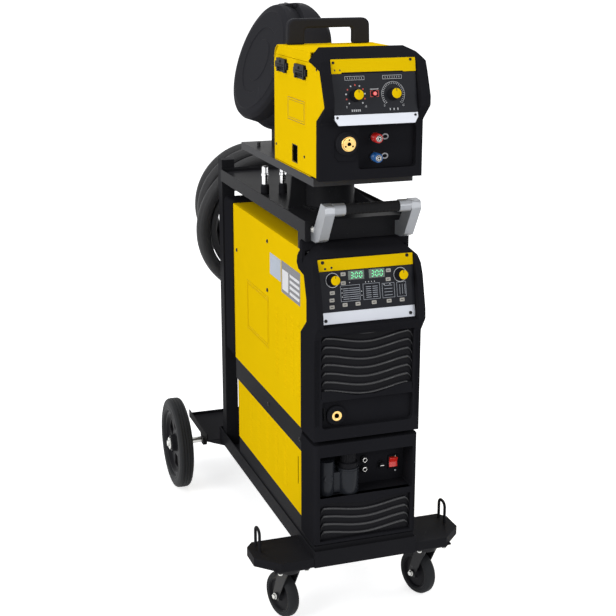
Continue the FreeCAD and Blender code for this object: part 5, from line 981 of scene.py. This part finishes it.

# Central torch socket: a brass insert with its pin holes in a black threaded collar, over a moulded bracket line.
# Four holes are near-black discs on the insert's end: painted shade for the holes.
EURO_X, EURO_Z, EURO_FACE = -65, 1295, -108
EURO = at(EURO_X, EURO_FACE, EURO_Z)
collar_profile = [(18.6, 0), (29, 0), (29, 7, 1.5), (24.4, 9, 1), (24.4, 10.5), (23.4, 11.2), (24.4, 12), (23.4, 12.8),
                  (24.4, 13.6), (23, 16, 0.6), (18.6, 16), (18.6, 0)]
sleeve_profile = [(15.7, 2), (18.4, 2), (18.4, 16.6), (17.9, 17.1), (16.2, 17.1), (15.7, 16.6), (15.7, 2)]
insert_profile = [(0, 2), (15.5, 2), (15.5, 20, 0.8), (5.0, 20, 0.3), (5.0, 8), (0, 8)]
lathe("socket_collar", rounded(collar_profile, 4), EURO, FRONT, 72, "euro_socket", moulded)
lathe("socket_sleeve", sleeve_profile, EURO, FRONT, 72, "euro_socket", brass)
insert = lathe("socket_insert", rounded(insert_profile, 4), EURO, FRONT, 72, "euro_socket", brass)
holes = [disc(EURO_X + x, EURO_Z + z, 2.3, 20) for x, z in ((0, 10.5), (-9.3, -5.4), (9.3, -5.4))]
holes.append(disc(EURO_X, EURO_Z, 4.9, 28))
plates("socket_hole_shade", holes, front_of(EURO_FACE), 19.9, 20.15, "euro_socket", opening_shade)
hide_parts("euro_socket")
bracket = [(-98, 1300), (-98, 1263), (-86, 1249), (-44, 1249), (-36, 1257), (-36, 1300)]
lips = []
for (x0, z0), (x1, z1) in zip(bracket[:-1], bracket[1:]):
    lips.append(radial(x0, z0, 0, math.hypot(x1 - x0, z1 - z0), 1.1, math.atan2(z1 - z0, x1 - x0)))
plates("socket_bracket", lips, front_of(EURO_FACE), -0.2, 1.6, "feeder_fascia", moulded_face, 0.6)

# Water couplings: nickel nipples with sliding ribbed sleeves, red for the return and blue for the supply. Their dust
# caps hang beside them as pale rings on short straps.
red_sleeve = finish("red_sleeve", (0.55, 0.012, 0.01), rough=0.25, grain=500, relief=0.02, drift=0.1)
blue_sleeve = finish("blue_sleeve", (0.01, 0.1, 0.32), rough=0.25, grain=500, relief=0.02, drift=0.1)
cap_pale = finish("cap_rubber", (0.42, 0.42, 0.44), rough=0.5, grain=500, relief=0.02, drift=0.1)
dress(nickel, "coupler_nipples")
ridged = [(8.2, 16), (10.6, 16), (11.5, 17.2)]
for k in range(7):
    ridged += [(11.5, 18.4 + 2.6 * k), (10.9, 19.2 + 2.6 * k), (11.5, 20.0 + 2.6 * k)]
ridged += [(11.5, 39.4), (10.6, 41), (8.2, 41), (8.2, 16)]
nose = [(3.0, 30), (6.2, 30), (7.5, 31), (7.5, 43.2), (6.8, 44), (4.4, 44), (3.0, 42.6), (3.0, 30)]
for label, z, colour in (("red", 1306, red_sleeve), ("blue", 1258, blue_sleeve)):
    place = at(10, -92, z)
    coupler = lathe("coupler_sleeve_" + label, ridged, place, FRONT, 56, "coupler_" + label, colour, 30)
    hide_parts("coupler_" + label)
    lathe("nipple_nose_" + label, nose, place, FRONT, 40, "coupler_nipples", nickel, 30)
    ring_line = [at(41 + 7.5 * math.cos(a), -95.5, z - 1 + 6.0 * math.sin(a)) for a in np.linspace(0, 2 * math.pi, 29)]
    tube("dust_ring_" + label, ring_line, 0.0017, 12, "coupler_nipples", cap_pale, closed_ends=False)
    strap_line = [at(19 + 15 * t, -94 - 3 * math.sin(math.pi * t), z - 3 * math.sin(math.pi * t))
                  for t in np.linspace(0, 1, 12)]
    tube("dust_strap_" + label, strap_line, 0.0013, 10, "coupler_nipples", cap_pale)

# Hose couplings: two chrome stubs of the hose package stand on the deck behind the swivel base, in rubber boots.
# Boot and stub are turned about one upright axis.
chrome = finish("chrome_plate", (0.85, 0.85, 0.86), rough=0.08, grain=600, relief=0.005, drift=0.03, metal=1.0)
boot = [(0, 0), (12, 0), (12, 22, 2), (10, 28, 1.5), (0, 28)]
stub = [(0, 28), (8.5, 28), (8.5, 50, 0.8), (10, 51, 0.5), (10, 58, 0.5), (8.5, 59, 0.5), (8.5, 76, 1.5), (6, 79, 1),
        (0, 79)]
for label, x in (("left", -117), ("right", -64)):
    for name, profile, material in (("coupling_boot_", boot, moulded), ("coupling_", stub, chrome)):
        lathe(name + label, rounded(profile), at(x, 400, 1081), (0, 0, 1), 40, "hose_plugs", material)

# Spool case: two glossy moulded halves behind the feeder, the lid with faint turned rings and a hinge at its top. The
# wire spool inside is black, wound with copper-coated wire; the wire drive in the feeder is bare castings.
dress(case_black, "spool_case", "spool_lid", edge=2.2)
dress(hub_black, "wire_spool", edge=0.6)
copper_wire = finish("copper_wire", (0.7, 0.32, 0.18), rough=0.3, grain=900, relief=0.05, drift=0.1, metal=1.0)
dress(copper_wire, "wire_coil")
dress(inner_metal, "wire_drive", "pressure_arm", edge=0.5)
